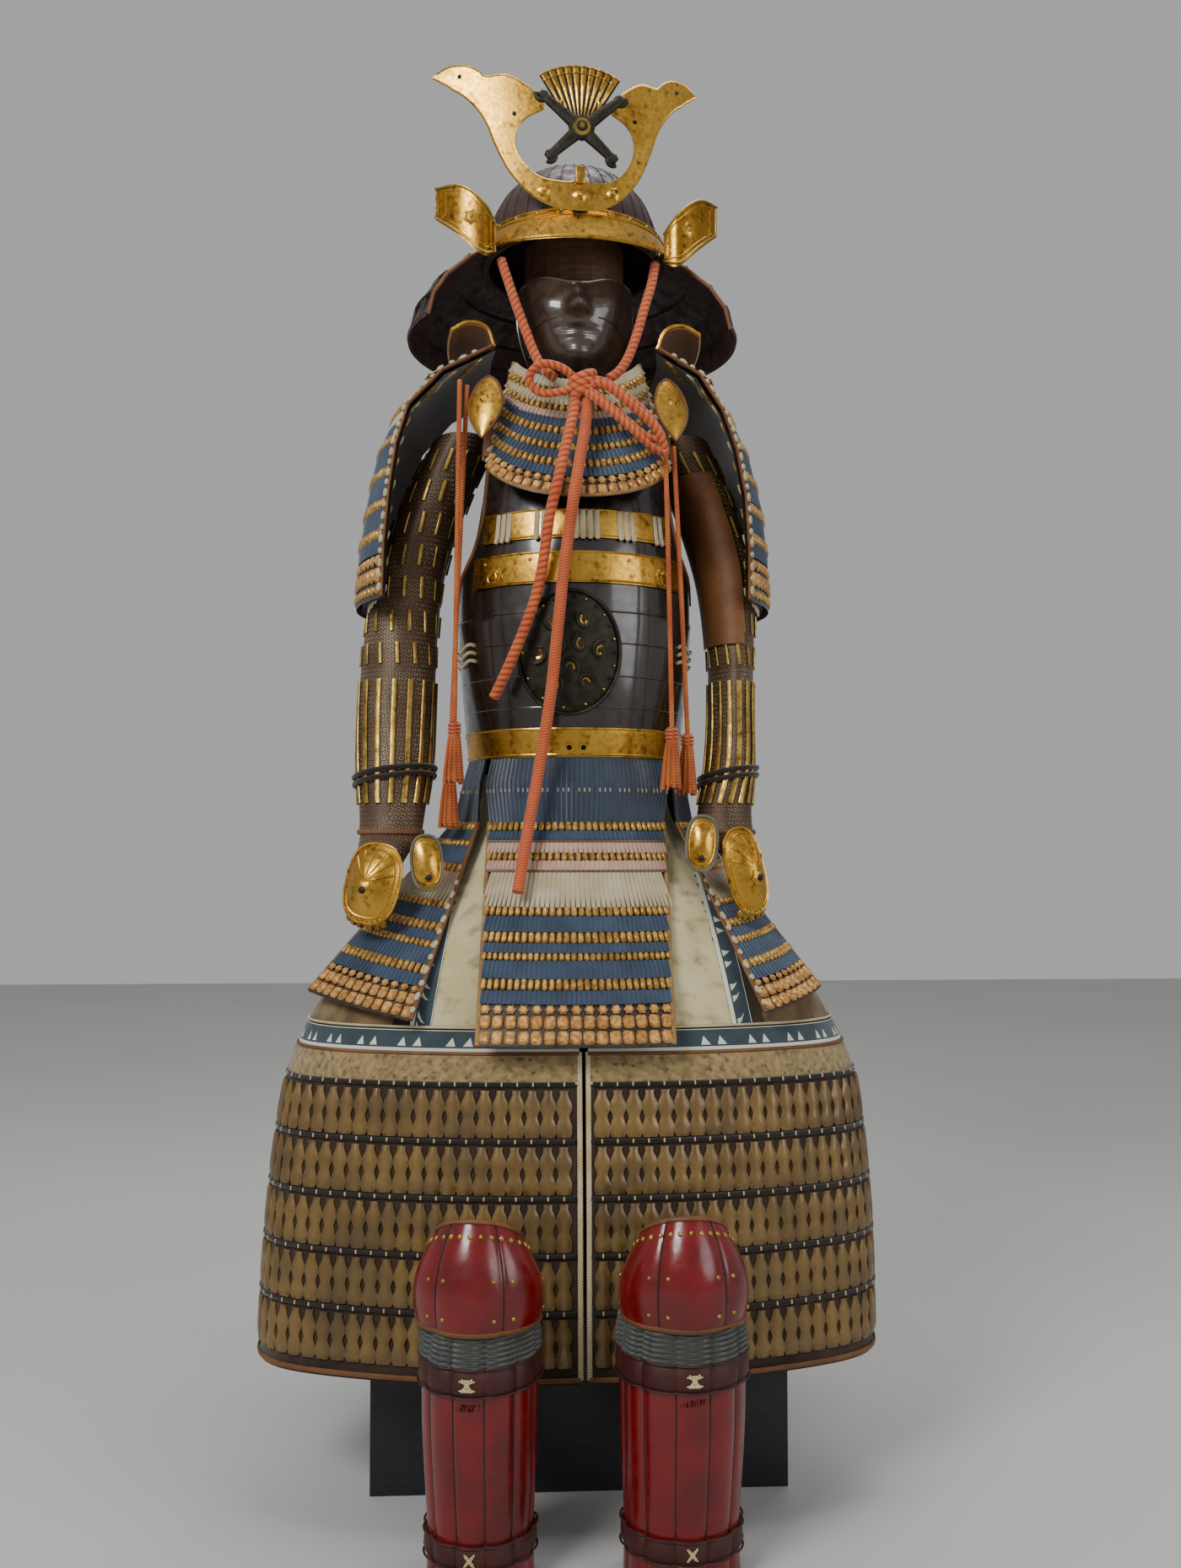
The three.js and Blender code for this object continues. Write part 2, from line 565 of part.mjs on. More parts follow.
// ---- Sleeves and hand plates ----
// Down the sleeve: its middle, its half width across and front to back, and how far it is turned.
const SLEEVES = {
  left: [
    { x: -148, y: -6, z: 1284, wide: 40, deep: 70, turn: 0 },
    { x: -186, y: -8, z: 1200, wide: 43, deep: 66, turn: 0 },
    { x: -215, y: -18, z: 1110, wide: 45, deep: 60, turn: 0 },
    { x: -226, y: -36, z: 1020, wide: 47, deep: 54, turn: 0 },
    { x: -229, y: -62, z: 930, wide: 48, deep: 48, turn: 0 },
    { x: -229, y: -88, z: 850, wide: 46, deep: 42, turn: 0 },
    { x: -230, y: -110, z: 792, wide: 40, deep: 34, turn: 0 },
    { x: -231, y: -120, z: 768, wide: 38, deep: 31, turn: 0 },
  ],
  right: [
    { x: 142, y: -6, z: 1284, wide: 38, deep: 70, turn: 0 },
    { x: 176, y: -8, z: 1200, wide: 38, deep: 66, turn: 0 },
    { x: 200, y: -18, z: 1110, wide: 36, deep: 62, turn: 0 },
    { x: 204, y: -36, z: 1020, wide: 30, deep: 58, turn: 0 },
    { x: 199, y: -62, z: 930, wide: 27, deep: 54, turn: 4 },
    { x: 193, y: -88, z: 850, wide: 30, deep: 46, turn: 6 },
    { x: 184, y: -112, z: 792, wide: 34, deep: 34, turn: 0 },
    { x: 186, y: -122, z: 768, wide: 33, deep: 31, turn: 0 },
  ],
};
function buildSleeves() {
  const around = 14;
  for (const side of ['left', 'right']) {
    const table = SLEEVES[side];
    const points = grid(table.length, around, (v, u, r, c) => {
      const row = table[r];
      const a = (c / around) * 2 * Math.PI;
      const x = row.wide * Math.sin(a);
      const y = -row.deep * Math.cos(a);
      const t = row.turn * RADIANS;
      return vec(row.x + x * Math.cos(t) - y * Math.sin(t), row.y + x * Math.sin(t) + y * Math.cos(t), row.z);
    });
    piece(`sleeve_${side}`, wall(points, { under: -CLOTH, ring: true }), 'mailCloth');
  }
}

// A domed plate facing forward, made round its middle, then turned and placed.
function dome({ wide, high, bulge, thick, around = 14, rings = 3, square = 0.75 }) {
  const points = grid(rings, around, (v, u, r, c) => {
    const a = (c / around) * 2 * Math.PI;
    const rounded = (n) => Math.sign(n) * Math.abs(n) ** square;
    return vec(
      (wide / 2) * v * rounded(Math.cos(a)),
      bulge * (v * v - 1),
      (high / 2) * v * rounded(Math.sin(a)),
    );
  });
  return wall(points, { under: -thick, ring: true, pole: vec(0, -1, 0) });
}

const HANDS = [
  { name: 'hand_plate_left', x: -247, y: -172, z: 709, wide: 72, high: 98, bulge: 22, tilt: 10, turn: -24 },
  { name: 'hand_plate_right', x: 200, y: -172, z: 724, wide: 60, high: 108, bulge: 22, tilt: -10, turn: 34 },
  { name: 'thumb_plate_left', x: -183, y: -178, z: 734, wide: 36, high: 66, bulge: 9, tilt: -4, turn: 8 },
  { name: 'thumb_plate_right', x: 147, y: -178, z: 757, wide: 36, high: 67, bulge: 10, tilt: 4, turn: -5 },
];
function buildHands() {
  for (const hand of HANDS) {
    const mesh = piece(hand.name, dome({ ...hand, thick: GILT }), 'gilt');
    mesh.position.set(hand.x, hand.y, hand.z);
    mesh.rotation.set(-0.14, hand.tilt * RADIANS, hand.turn * RADIANS, 'ZYX');
  }
}

// ---- The skirt of seven laced panels ----
// Each panel: the angles on the waist where its lacing starts and ends, and its bottom corners.
const SKIRT_TOP = WAIST_Z - 3;
const CURTAIN_Z = 782; // where the open lacing ends and the lames begin
const SKIRT = [
  { name: 'skirt_front', from: -52, to: 52, a: [-120, -288, 531], b: [100, -288, 531], bulge: 6, lames: 6 },
  { name: 'skirt_front_right', from: 57, to: 92, a: [211, -250, 562], b: [290, -168, 583], bulge: 8, lames: 6 },
  { name: 'skirt_side_right', from: 97, to: 136, a: [208, -26, 604], b: [180, 106, 604], bulge: 8, lames: 5 },
  { name: 'skirt_back_right', from: 141, to: 177, a: [150, 150, 604], b: [8, 192, 604], bulge: 8, lames: 5 },
  { name: 'skirt_back_left', from: 183, to: 219, a: [-8, 192, 604], b: [-150, 150, 604], bulge: 8, lames: 5 },
  { name: 'skirt_side_left', from: 224, to: 263, a: [-180, 106, 604], b: [-208, -26, 604], bulge: 8, lames: 5 },
  { name: 'skirt_front_left', from: 268, to: 303, a: [-322, -163, 581], b: [-196, -252, 556], bulge: 8, lames: 6 },
];
function onWaist(angle, z, out) {
  const row = DO_FRONT[DO_FRONT.length - 1];
  const a = angle * RADIANS;
  const reach = (Math.cos(a) > 0 ? row.reach : DO_BACK[DO_BACK.length - 1].reach) + out;
  return vec((row.half + out) * Math.sin(a), DO_AXIS_Y - reach * Math.cos(a), z);
}

function buildSkirt() {
  for (const panel of SKIRT) {
    const rows = [{ at: -2, out: 0 }, { at: -1, out: 0 }, ...lameRows(panel.lames)];
    const low = vec(...panel.a);
    const high = vec(...panel.b);
    const middle = low.clone().add(high).multiplyScalar(0.5);
    const facing = vec(middle.x, middle.y - DO_AXIS_Y, 0).normalize();
    const bottomAt = (u) => low.clone().lerp(high, u).addScaledVector(facing, panel.bulge * 4 * u * (1 - u));
    const points = grid(rows.length, 7, (v, u, r) => {
      const angle = mix(panel.from, panel.to, u);
      if (rows[r].at === -2) return onWaist(angle, SKIRT_TOP, 0);
      if (rows[r].at === -1) return onWaist(angle, (SKIRT_TOP + CURTAIN_Z) / 2 + 8, 9);
      const knee = onWaist(angle, CURTAIN_Z, 0).lerp(bottomAt(u), 0.11).setZ(CURTAIN_Z);
      return knee.lerp(bottomAt(u), rows[r].at);
    });
    piece(panel.name, wall(points, { over: (r) => rows[r].out, under: -LAME }), 'navyLacing');
  }
}

// ---- The thigh guard ----
// Each row: height, how wide each side is, how far forward its middle and its outer edge stand, and how square.
const THIGH = [
  { z: 846, left: 118, right: 118, front: -128, edge: -10, square: 1 },
  { z: 790, left: 128, right: 128, front: -140, edge: -14, square: 1 },
  { z: 740, left: 160, right: 160, front: -160, edge: -30, square: 0.95 },
  { z: 690, left: 205, right: 205, front: -184, edge: -52, square: 0.85 },
  { z: 640, left: 254, right: 250, front: -212, edge: -72, square: 0.75 },
  { z: 600, left: 292, right: 280, front: -232, edge: -88, square: 0.7 },
  { z: 560, left: 320, right: 304, front: -247, edge: -97, square: 0.66 },
  { z: 490, left: 348, right: 334, front: -267, edge: -108, square: 0.6 },
  { z: 410, left: 362, right: 346, front: -279, edge: -112, square: 0.6 },
  { z: 330, left: 370, right: 352, front: -288, edge: -115, square: 0.6 },
  { z: 250, left: 375, right: 354, front: -294, edge: -118, square: 0.6 },
  { z: 165, left: 378, right: 354, front: -299, edge: -121, square: 0.6 },
];
const THIGH_SPLIT = 5; // half the gap between the two panels
function buildThighGuard() {
  const columns = 12;
  for (const [name, side, key] of [['thigh_guard_left', -1, 'left'], ['thigh_guard_right', 1, 'right']]) {
    const points = grid(THIGH.length, columns, (v, u, r) => {
      const row = THIGH[r];
      const a = mix(0, 87, side > 0 ? u : 1 - u) * RADIANS;
      const x = row[key] * Math.sin(a) + THIGH_SPLIT * (1 - Math.sin(a));
      const wave = row.z < 620 ? 3 * Math.sin(a * 6) * (620 - row.z) / 455 : 0;
      return vec(side * x, row.edge + (row.front - row.edge) * Math.cos(a) ** row.square - wave, row.z);
    });
    piece(name, wall(points, { under: -CLOTH }), 'leather');
  }
}

// ---- Shin guards ----
// Up the shin: its half width, how far it bulges forward, and how far its shin leans.
const SHIN = [
  { z: 262, half: 54, reach: 66, lean: 4 },
  { z: 230, half: 57, reach: 68, lean: 2 },
  { z: 170, half: 57, reach: 66, lean: 0 },
  { z: 110, half: 55, reach: 61, lean: 3 },
  { z: 50, half: 52, reach: 57, lean: 6 },
  { z: 0, half: 53, reach: 58, lean: 5 },
];
const SHINS = [
  { side: 'left', x: -114, y: -376, turn: -9, scale: 1 },
  { side: 'right', x: 98, y: -376, turn: 3, scale: 1.1 },
];
function buildShinGuards() {
  for (const shin of SHINS) {
    const holder = new THREE.Group();
    holder.position.set(shin.x, shin.y, 0);
    holder.rotation.z = shin.turn * RADIANS;
    armour.add(holder);
    const points = grid(SHIN.length, 11, (v, u, r) => {
      const row = SHIN[r];
      const a = mix(-112, 112, u) * RADIANS;
      return vec(shin.scale * row.half * Math.sin(a), row.lean - row.reach * Math.cos(a), row.z);
    });
    piece(`shin_guard_${shin.side}`, wall(points, { under: -IRON }), 'redLacquer', holder);
    const KNEE = { low: 266, top: 374, half: 66, reach: 72 };
    const knee = grid(6, 11, (v, u) => {
      const a = mix(-96, 96, u) * RADIANS;
      const edge = (u * 2 - 1) ** 2;
      const round = Math.sin(mix(0.35, 1, v) * Math.PI * 0.62);
      const z = mix(KNEE.top - 34 * edge, KNEE.low, v);
      return vec(KNEE.half * round * Math.sin(a), -KNEE.reach * round * Math.cos(a), z);
    });
    piece(`knee_guard_${shin.side}`, wall(knee, { under: -IRON }), 'redLacquer', holder);
  }
}

// ---- Cords ----
// Each cord's middle line, from where it leaves the armour to its free end.
const CORDS = {
  chin_cord_left: { diameter: 12, points: [
    [-97, -96, 1500], [-88, -108, 1468], [-78, -118, 1434], [-66, -127, 1398], [-54, -136, 1364],
    [-42, -146, 1342], [-30, -151, 1331],
  ] },
  chin_cord_right: { diameter: 12, points: [
    [100, -92, 1500], [94, -106, 1468], [84, -118, 1434], [74, -127, 1398], [62, -136, 1364],
    [49, -146, 1342], [36, -151, 1331],
  ] },
  chin_cord_end_short: { diameter: 13, points: [
    [-5, -166, 1304], [-8, -174, 1282], [-14, -182, 1255], [-20, -190, 1228], [-26, -197, 1200], [-32, -199, 1174],
    [-38, -194, 1148], [-42, -187, 1118], [-46, -182, 1090], [-52, -179, 1062], [-60, -176, 1036], [-70, -171, 1010],
    [-81, -164, 984], [-93, -155, 958], [-104, -144, 936],
  ] },
  chin_cord_end_long: { diameter: 14, points: [
    [10, -167, 1304], [8, -175, 1280], [4, -184, 1250], [-1, -192, 1222], [-5, -199, 1196], [-9, -201, 1170],
    [-13, -197, 1142], [-17, -192, 1112], [-21, -189, 1080], [-25, -188, 1040], [-29, -187, 1000], [-34, -184, 950],
    [-40, -180, 905], [-46, -176, 868], [-52, -176, 832], [-58, -180, 800], [-63, -188, 772], [-69, -202, 738],
    [-75, -217, 700],
  ] },
};
const SIDE_CORDS = [
  { name: 'side_cord_left_front', from: [-148, -128, 1334], to: [-152, -152, 905] },
  { name: 'side_cord_left_back', from: [-139, -120, 1330], to: [-159, -114, 852] },
  { name: 'side_cord_right_inner', from: [106, -156, 1248], to: [112, -168, 898] },
  { name: 'side_cord_right_outer', from: [117, -150, 1248], to: [134, -144, 892] },
];
const SIDE_CORD = { diameter: 6, steps: 8, tasselTop: 6, tasselLow: 15, tasselHigh: 78 };

function tube(points, diameter, sides, steps) {
  const curve = new THREE.CatmullRomCurve3(points, false, 'centripetal');
  const section = new THREE.Shape();
  for (let i = 0; i < sides; i += 1) {
    const a = (i / sides) * 2 * Math.PI;
    const at = [(diameter / 2) * Math.cos(a), (diameter / 2) * Math.sin(a)];
    if (i) section.lineTo(...at);
    else section.moveTo(...at);
  }
  section.closePath();
  const geometry = new THREE.ExtrudeGeometry(section, { steps, extrudePath: curve, bevelEnabled: false });
  return plainMesh(geometry);
}

function buildCords() {
  for (const [name, cord] of Object.entries(CORDS)) {
    const points = cord.points.map((p) => vec(...p));
    piece(name, tube(points, cord.diameter, 8, points.length), 'cord');
  }
  // The knot and its loops, as one soft lump at the throat.
  const knot = new THREE.SphereGeometry(1, 10, 6).scale(26, 13, 15);
  piece('chin_knot', plainMesh(knot).translate(3, -156, 1320), 'cord');
  for (const cord of SIDE_CORDS) {
    const { diameter, steps, tasselTop, tasselLow, tasselHigh } = SIDE_CORD;
    const points = [0, 0.25, 0.5, 0.75, 1].map((t) => (
      vec(...cord.from).lerp(vec(...cord.to), t).add(vec(0, -4 * Math.sin(t * Math.PI), 0))));
    piece(cord.name, tube(points, diameter, 8, steps), 'cord');
    const end = points[points.length - 1];
    const profile = [
      [0, -SEAM], [tasselTop + 2, -6], [tasselTop, -17], [tasselLow, -50], [tasselLow - 2, -tasselHigh],
      [0, -tasselHigh],
    ].map(([r, z]) => new THREE.Vector2(r, z)).reverse();
    const lathe = new THREE.LatheGeometry(profile, 10).rotateX(Math.PI / 2);
    const name = cord.name.replace('side_cord', 'tassel');
    piece(name, plainMesh(lathe).translate(end.x, end.y, end.z - 1), 'cord');
  }
}

buildChest();
buildStand();
buildCuirass();
buildRelief();
buildStraps();
buildBowl();
buildNeckGuard();
buildTurnbacks();
buildCrest();
buildMask();
buildThroatGuard();
buildShoulderGuards();
buildSleeves();
buildHands();
buildSkirt();
buildThighGuard();
buildShinGuards();
buildCords();

export default armour;
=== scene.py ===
import logging
import math
from collections.abc import Callable, Sequence
from dataclasses import dataclass, field
from enum import Enum
from typing import ClassVar

import bmesh
import bpy
from bmesh.types import BMesh
from mathutils import Matrix, Vector


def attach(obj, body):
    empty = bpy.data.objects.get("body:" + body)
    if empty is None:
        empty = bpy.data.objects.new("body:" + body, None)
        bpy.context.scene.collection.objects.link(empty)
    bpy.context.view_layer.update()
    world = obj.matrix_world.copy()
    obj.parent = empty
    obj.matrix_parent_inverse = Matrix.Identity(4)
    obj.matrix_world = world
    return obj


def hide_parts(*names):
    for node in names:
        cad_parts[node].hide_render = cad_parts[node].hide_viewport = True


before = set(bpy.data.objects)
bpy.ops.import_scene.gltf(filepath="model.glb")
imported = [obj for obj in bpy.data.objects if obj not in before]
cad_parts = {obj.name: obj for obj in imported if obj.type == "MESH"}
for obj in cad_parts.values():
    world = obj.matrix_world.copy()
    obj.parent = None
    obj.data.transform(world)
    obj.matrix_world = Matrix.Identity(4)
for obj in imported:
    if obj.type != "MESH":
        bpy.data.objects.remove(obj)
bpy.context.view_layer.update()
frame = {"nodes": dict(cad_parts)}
log = logging.getLogger("armour")

MM = 0.001  # the shapes are made in millimetres and brought to metres as they become pieces
BODY = "root"
SHARP_ANGLE = 38.0  # an edge over this angle, in degrees, looks sharp


# ---------------------------------------------------------------- nodes and colours
def linear(hex_colour: str) -> tuple[float, float, float, float]:
    """Turns an sRGB hex colour to linear.

    Args:
        hex_colour: six hex digits after a hash.

    Returns:
        Red, green, blue and alpha.
    """
    parts = [int(hex_colour[i:i + 2], 16) / 255 for i in (1, 3, 5)]
    r, g, b = [c / 12.92 if c <= 0.04045 else ((c + 0.055) / 1.055) ** 2.4 for c in parts]
    return r, g, b, 1.0


class Space(Enum):
    """What a pattern follows: the whole armour's space, or the piece's own unrolled surface."""

    OBJECT = "Object"
    SURFACE = "UV"


Socket = bpy.types.NodeSocket
Shine = dict[str, float]


class Graph:
    """A material's nodes, with the few steps that every finish is drawn with."""

    def __init__(self, tree: bpy.types.NodeTree, sockets: dict, space: Space) -> None:
        """Starts a tree with its shader.

        Args:
            tree: the material's tree.
            sockets: the values that are set on the shader.
            space: what the patterns follow.
        """
        self.tree = tree
        tree.nodes.clear()
        self.shader = self.add("ShaderNodeBsdfPrincipled", sockets)
        self.add("ShaderNodeOutputMaterial", {"Surface": self.shader.outputs[0]})
        self.place = self.coordinates(space)

    def add(self, kind: str, inputs: dict | None = None, **settings: object) -> bpy.types.Node:
        """Adds a node with its settings and links.

        Args:
            kind: the node's type.
            inputs: a value or an output socket for each input, by name or number.
            **settings: the node's own properties.

        Returns:
            The new node.
        """
        made = self.tree.nodes.new(kind)
        for name, value in settings.items():
            setattr(made, name, value)
        for socket, value in (inputs or {}).items():
            if isinstance(value, Socket):
                self.tree.links.new(value, made.inputs[socket])
            else:
                made.inputs[socket].default_value = value
        return made

    def coordinates(self, space: Space) -> Socket:
        """Returns the coordinates of a space."""
        return self.add("ShaderNodeTexCoord").outputs[space.value]

    def flat(self) -> tuple[Socket, Socket]:
        """Returns the first and the second coordinate of the pattern's own space."""
        cut = self.add("ShaderNodeSeparateXYZ", {0: self.place}).outputs
        return cut[0], cut[1]

    def math(self, kind: str, *values: object) -> Socket:
        """Does one step of arithmetic on numbers or sockets and returns its result."""
        return self.add("ShaderNodeMath", dict(enumerate(values)), operation=kind).outputs[0]

    def times(self, a: object, b: object) -> Socket:
        """Returns a times b."""
        return self.math("MULTIPLY", a, b)

    def plus(self, a: object, b: object) -> Socket:
        """Returns a plus b."""
        return self.math("ADD", a, b)

    def away(self, value: Socket, middle: float) -> Socket:
        """Returns how far a value is from a middle."""
        return self.math("ABSOLUTE", self.math("SUBTRACT", value, middle))

    def ramp(self, value: Socket, low: float = 0.0, high: float = 1.0, start: float = 0.0,
             end: float = 1.0) -> Socket:
        """Turns a value that runs from low to high to one that runs from start to end."""
        return self.add("ShaderNodeMapRange", {"Value": value, "From Min": low, "From Max": high,
                                               "To Min": start, "To Max": end}).outputs[0]

    def blotch(self, size_mm: float, low: float = 0.35, high: float = 0.65,
               place: Socket | None = None) -> Socket:
        """Makes soft blotches.

        Args:
            size_mm: how large they are.
            low: the noise that becomes 0.
            high: the noise that becomes 1.
            place: the coordinates that they follow, the pattern's own where they are left out.

        Returns:
            A factor from 0 to 1.
        """
        place = self.place if place is None else place
        noise = self.add("ShaderNodeTexNoise", {"Vector": place, "Scale": 1000 / size_mm, "Detail": 4.0})
        return self.ramp(noise.outputs[0], low, high)

    def blend(self, factor: object, first: object, second: object, mode: str = "MIX") -> Socket:
        """Mixes two colours by a factor.

        Args:
            factor: a number or a socket.
            first: a hex colour or a socket.
            second: a hex colour or a socket.
            mode: how they mix.

        Returns:
            The mixed colour.
        """
        first, second = (linear(c) if isinstance(c, str) else c for c in (first, second))
        return self.add("ShaderNodeMix", {0: factor, 6: first, 7: second}, data_type="RGBA",
                        blend_type=mode).outputs[2]

    def shade(self, colour: Socket, height: Socket, dark: str, strength: float) -> Socket:
        """Paints shade into a colour: darkens it towards a dark colour where a height is low, as in the
        grooves between threads, strands and grains.
        """
        return self.blend(strength, colour, self.blend(height, dark, "#ffffff"), "MULTIPLY")

    def drive(self, socket: str, value: Socket) -> None:
        """Links a result to one of the shader's own sockets."""
        self.tree.links.new(value, self.shader.inputs[socket])

    def relief(self, height: Socket, depth_mm: float) -> None:
        """Raises the surface by a height from 0 to 1, times a depth in millimetres."""
        bump = self.add("ShaderNodeBump", {"Height": height, "Distance": depth_mm * MM, "Strength": 1.0})
        self.drive("Normal", bump.outputs[0])


@dataclass(frozen=True)
class Finish:
    """A surface finish: its colour, a second colour that it varies to, and how it shines."""

    SHINE: ClassVar[Shine] = {}
    name: str
    colour: str
    second: str
    rough: float = 0.5
    metal: float = 0.0
    patch_mm: float = 30.0
    bump_mm: float = 0.1
    space: Space = Space.OBJECT

    def sockets(self) -> dict[str, float]:
        """Returns what is set on the shader's own sockets."""
        return {"Metallic": self.metal, "Roughness": self.rough, **self.SHINE}

    def material(self) -> bpy.types.Material:
        """Returns the finish's material, made the first time that it is asked for."""
        known = bpy.data.materials.get(self.name)
        if known:
            return known
        made = bpy.data.materials.new(self.name)
        made.use_nodes = True
        made.diffuse_color = linear(self.colour)
        graph = Graph(made.node_tree, self.sockets(), self.space)
        colour, height = self.draw(graph)
        graph.drive("Base Color", colour)
        graph.relief(height, self.bump_mm)
        return made

    def ground(self, graph: Graph, place: Socket | None = None) -> Socket:
        """Returns the finish's two colours, mixed in blotches."""
        return graph.blend(graph.blotch(self.patch_mm, place=place), self.colour, self.second)

    def draw(self, graph: Graph) -> tuple[Socket, Socket]:
        """Draws the pattern.

        Args:
            graph: the material's nodes.

        Returns:
            Its colour, and its height from 0 to 1.
        """
        return self.ground(graph), graph.blotch(self.patch_mm / 12, 0.3, 0.7)


@dataclass(frozen=True)
class Lacquer(Finish):
    """Urushi lacquer over iron or hide: a deep gloss with wear where an edge is rubbed."""

    coat: float = 0.8
    worn: str = "#5a3c28"
    wear: float = 0.5

    def sockets(self) -> dict[str, float]:
        """Returns what is set on the shader's own sockets. Lacquer's IOR is about 1.52."""
        return {**super().sockets(), "IOR": 1.52, "Coat Weight": self.coat, "Coat Roughness": 0.12}

    def draw(self, graph: Graph) -> tuple[Socket, Socket]:
        """Draws brushed depth, rubbed edges and small dents. See Finish.draw."""
        edge = graph.add("ShaderNodeNewGeometry").outputs["Pointiness"]
        broken = graph.times(graph.ramp(edge, 0.53, 0.6, end=self.wear), graph.blotch(5.0, 0.4, 0.6))
        dullest = min(1.0, self.rough * 1.5)
        graph.drive("Roughness", graph.ramp(graph.blotch(14.0), start=self.rough * 0.8, end=dullest))
        return graph.blend(broken, self.ground(graph), self.worn), graph.blotch(9.0, 0.2, 0.8)


@dataclass(frozen=True)
class GiltCopper(Finish):
    """Beaten copper with fire gilding: warm, softly dented, browned in patches and where hands wear it."""

    tarnish: str = "#6b4a1c"

    def draw(self, graph: Graph) -> tuple[Socket, Socket]:
        """Draws tarnish, uneven shine and beaten dents. See Finish.draw."""
        stained = graph.blend(graph.blotch(11.0, 0.56, 0.74), self.ground(graph), self.tarnish)
        graph.drive("Roughness", graph.ramp(graph.blotch(6.0), start=self.rough * 0.8, end=self.rough * 1.35))
        return stained, graph.blotch(5.0, 0.2, 0.8)


@dataclass(frozen=True)
class BraidedSilk(Finish):
    """Flat braid of silk, laid upright: a chevron of threads, matt with a soft sheen."""

    SHINE: ClassVar[Shine] = {"Sheen Weight": 0.4, "Sheen Roughness": 0.4, "Specular IOR Level": 0.3}
    space: Space = Space.SURFACE
    thread_mm: float = 1.6

    def draw(self, graph: Graph) -> tuple[Socket, Socket]:
        """Draws the chevron along the braid, paints shade into the grooves between its threads and fades the
        colour in blotches. See Finish.draw.
        """
        across, along = graph.flat()
        slanted = graph.plus(along, graph.math("ABSOLUTE", across))
        wave = graph.math("SINE", graph.times(slanted, 2000 * math.pi / self.thread_mm))
        height = graph.ramp(wave, -1.0)
        faded = self.ground(graph, graph.coordinates(Space.OBJECT))
        # Painted shade: the colour is darkened toward grey in the low grooves between the braid's threads.
        return graph.shade(faded, height, "#7f7f7f", 0.8), height


@dataclass(frozen=True)
class TwistedCord(BraidedSilk):
    """A round cord of twisted strands: slanted ridges run round it, and loose fibres soften them."""

    strand_mm: float = 9.0
    strands: float = 3.0

    def draw(self, graph: Graph) -> tuple[Socket, Socket]:
        """Draws the twist by length and turn round the cord, with painted shade between the strands. See
        Finish.draw.
        """
        around, along = graph.flat()
        turn = graph.times(around, 2 * math.pi * self.strands)
        run = graph.times(along, 2000 * math.pi / self.strand_mm)
        ridge = graph.math("ABSOLUTE", graph.math("SINE", graph.plus(turn, run)))
        world = graph.coordinates(Space.OBJECT)
        height = graph.plus(graph.times(ridge, 0.8), graph.times(graph.blotch(1.6, 0.3, 0.7, world), 0.2))
        # Painted shade: the colour is darkened where the height is low, between the twisted strands.
        return graph.shade(self.ground(graph, world), height, "#8a6a60", 0.85), height


@dataclass(frozen=True)
class Mail(Finish):
    """Iron rings sewn in rows on hemp, rust brown, with the cloth dark between them."""

    space: Space = Space.SURFACE
    ring_mm: float = 8.0
    cloth: str = "#33241a"

    def draw(self, graph: Graph) -> tuple[Socket, Socket]:
        """Draws rings in offset rows on the unrolled sleeve. See Finish.draw."""
        across, along = graph.flat()
        v = graph.times(along, 1000 / (self.ring_mm * 0.8))
        shift = graph.times(graph.math("FLOOR", v), 0.5)
        u = graph.plus(graph.times(across, 1000 / self.ring_mm), shift)
        x, y = (graph.math("SUBTRACT", graph.math("FRACT", n), 0.5) for n in (u, v))
        square = graph.plus(graph.times(x, x), graph.times(y, y))
        ring = graph.ramp(graph.away(graph.math("SQRT", square), 0.34), 0.15, 0.04)
        graph.drive("Metallic", graph.times(ring, 0.6))
        return graph.blend(ring, self.cloth, self.ground(graph)), ring


@dataclass(frozen=True)
class Cloth(Finish):
    """Plain-woven cloth, aged: threads drawn as coarse as they need to show, and soft stains."""

    SHINE: ClassVar[Shine] = {"Sheen Weight": 0.25, "Sheen Roughness": 0.5, "Specular IOR Level": 0.25}
    space: Space = Space.SURFACE
    thread_mm: float = 1.2
    stain: str = "#8a7a50"
    stain_mm: float = 26.0

    def draw(self, graph: Graph) -> tuple[Socket, Socket]:
        """Draws the weave, with painted shade between its threads, the fading and the stains. See
        Finish.draw.
        """
        pitch = 2000 * math.pi / self.thread_mm
        warp, weft = (graph.math("SINE", graph.times(n, pitch)) for n in graph.flat())
        weave = graph.ramp(graph.times(warp, weft), -1.0)
        stained = graph.blend(graph.blotch(self.stain_mm, 0.52, 0.75), self.ground(graph), self.stain)
        # Painted shade: the colour is darkened where the weave is low, between the threads.
        return graph.shade(stained, weave, "#b4b4b4", 0.7), weave


@dataclass(frozen=True)
class TriangleTape(Cloth):
    """Navy woven tape with a pale line along each edge and pale triangles in pairs along its foot."""

    wide_mm: float = 22.0
    pitch_mm: float = 17.0
    mark: str = "#c9cbb8"

    def draw(self, graph: Graph) -> tuple[Socket, Socket]:
        """Draws the triangles and lines on the tape's own surface. See Finish.draw."""
        across, up = graph.flat()
        along = graph.times(across, 1000 / self.pitch_mm)
        rise = graph.plus(graph.times(up, 1000 / self.wide_mm), 1.0)
        tip = graph.plus(graph.times(graph.away(graph.math("FRACT", along), 0.5), 1.7), rise)
        inside = graph.times(graph.math("LESS_THAN", tip, 0.62), graph.math("GREATER_THAN", rise, 0.14))
        third = graph.math("GREATER_THAN", graph.math("FRACT", graph.times(along, 0.3333)), 0.3)
        lines = graph.math("GREATER_THAN", graph.away(rise, 0.5), 0.46)
        mask = graph.math("MAXIMUM", graph.times(inside, third), lines)
        return graph.blend(mask, self.ground(graph), self.mark), graph.blotch(1.2, 0.3, 0.7)


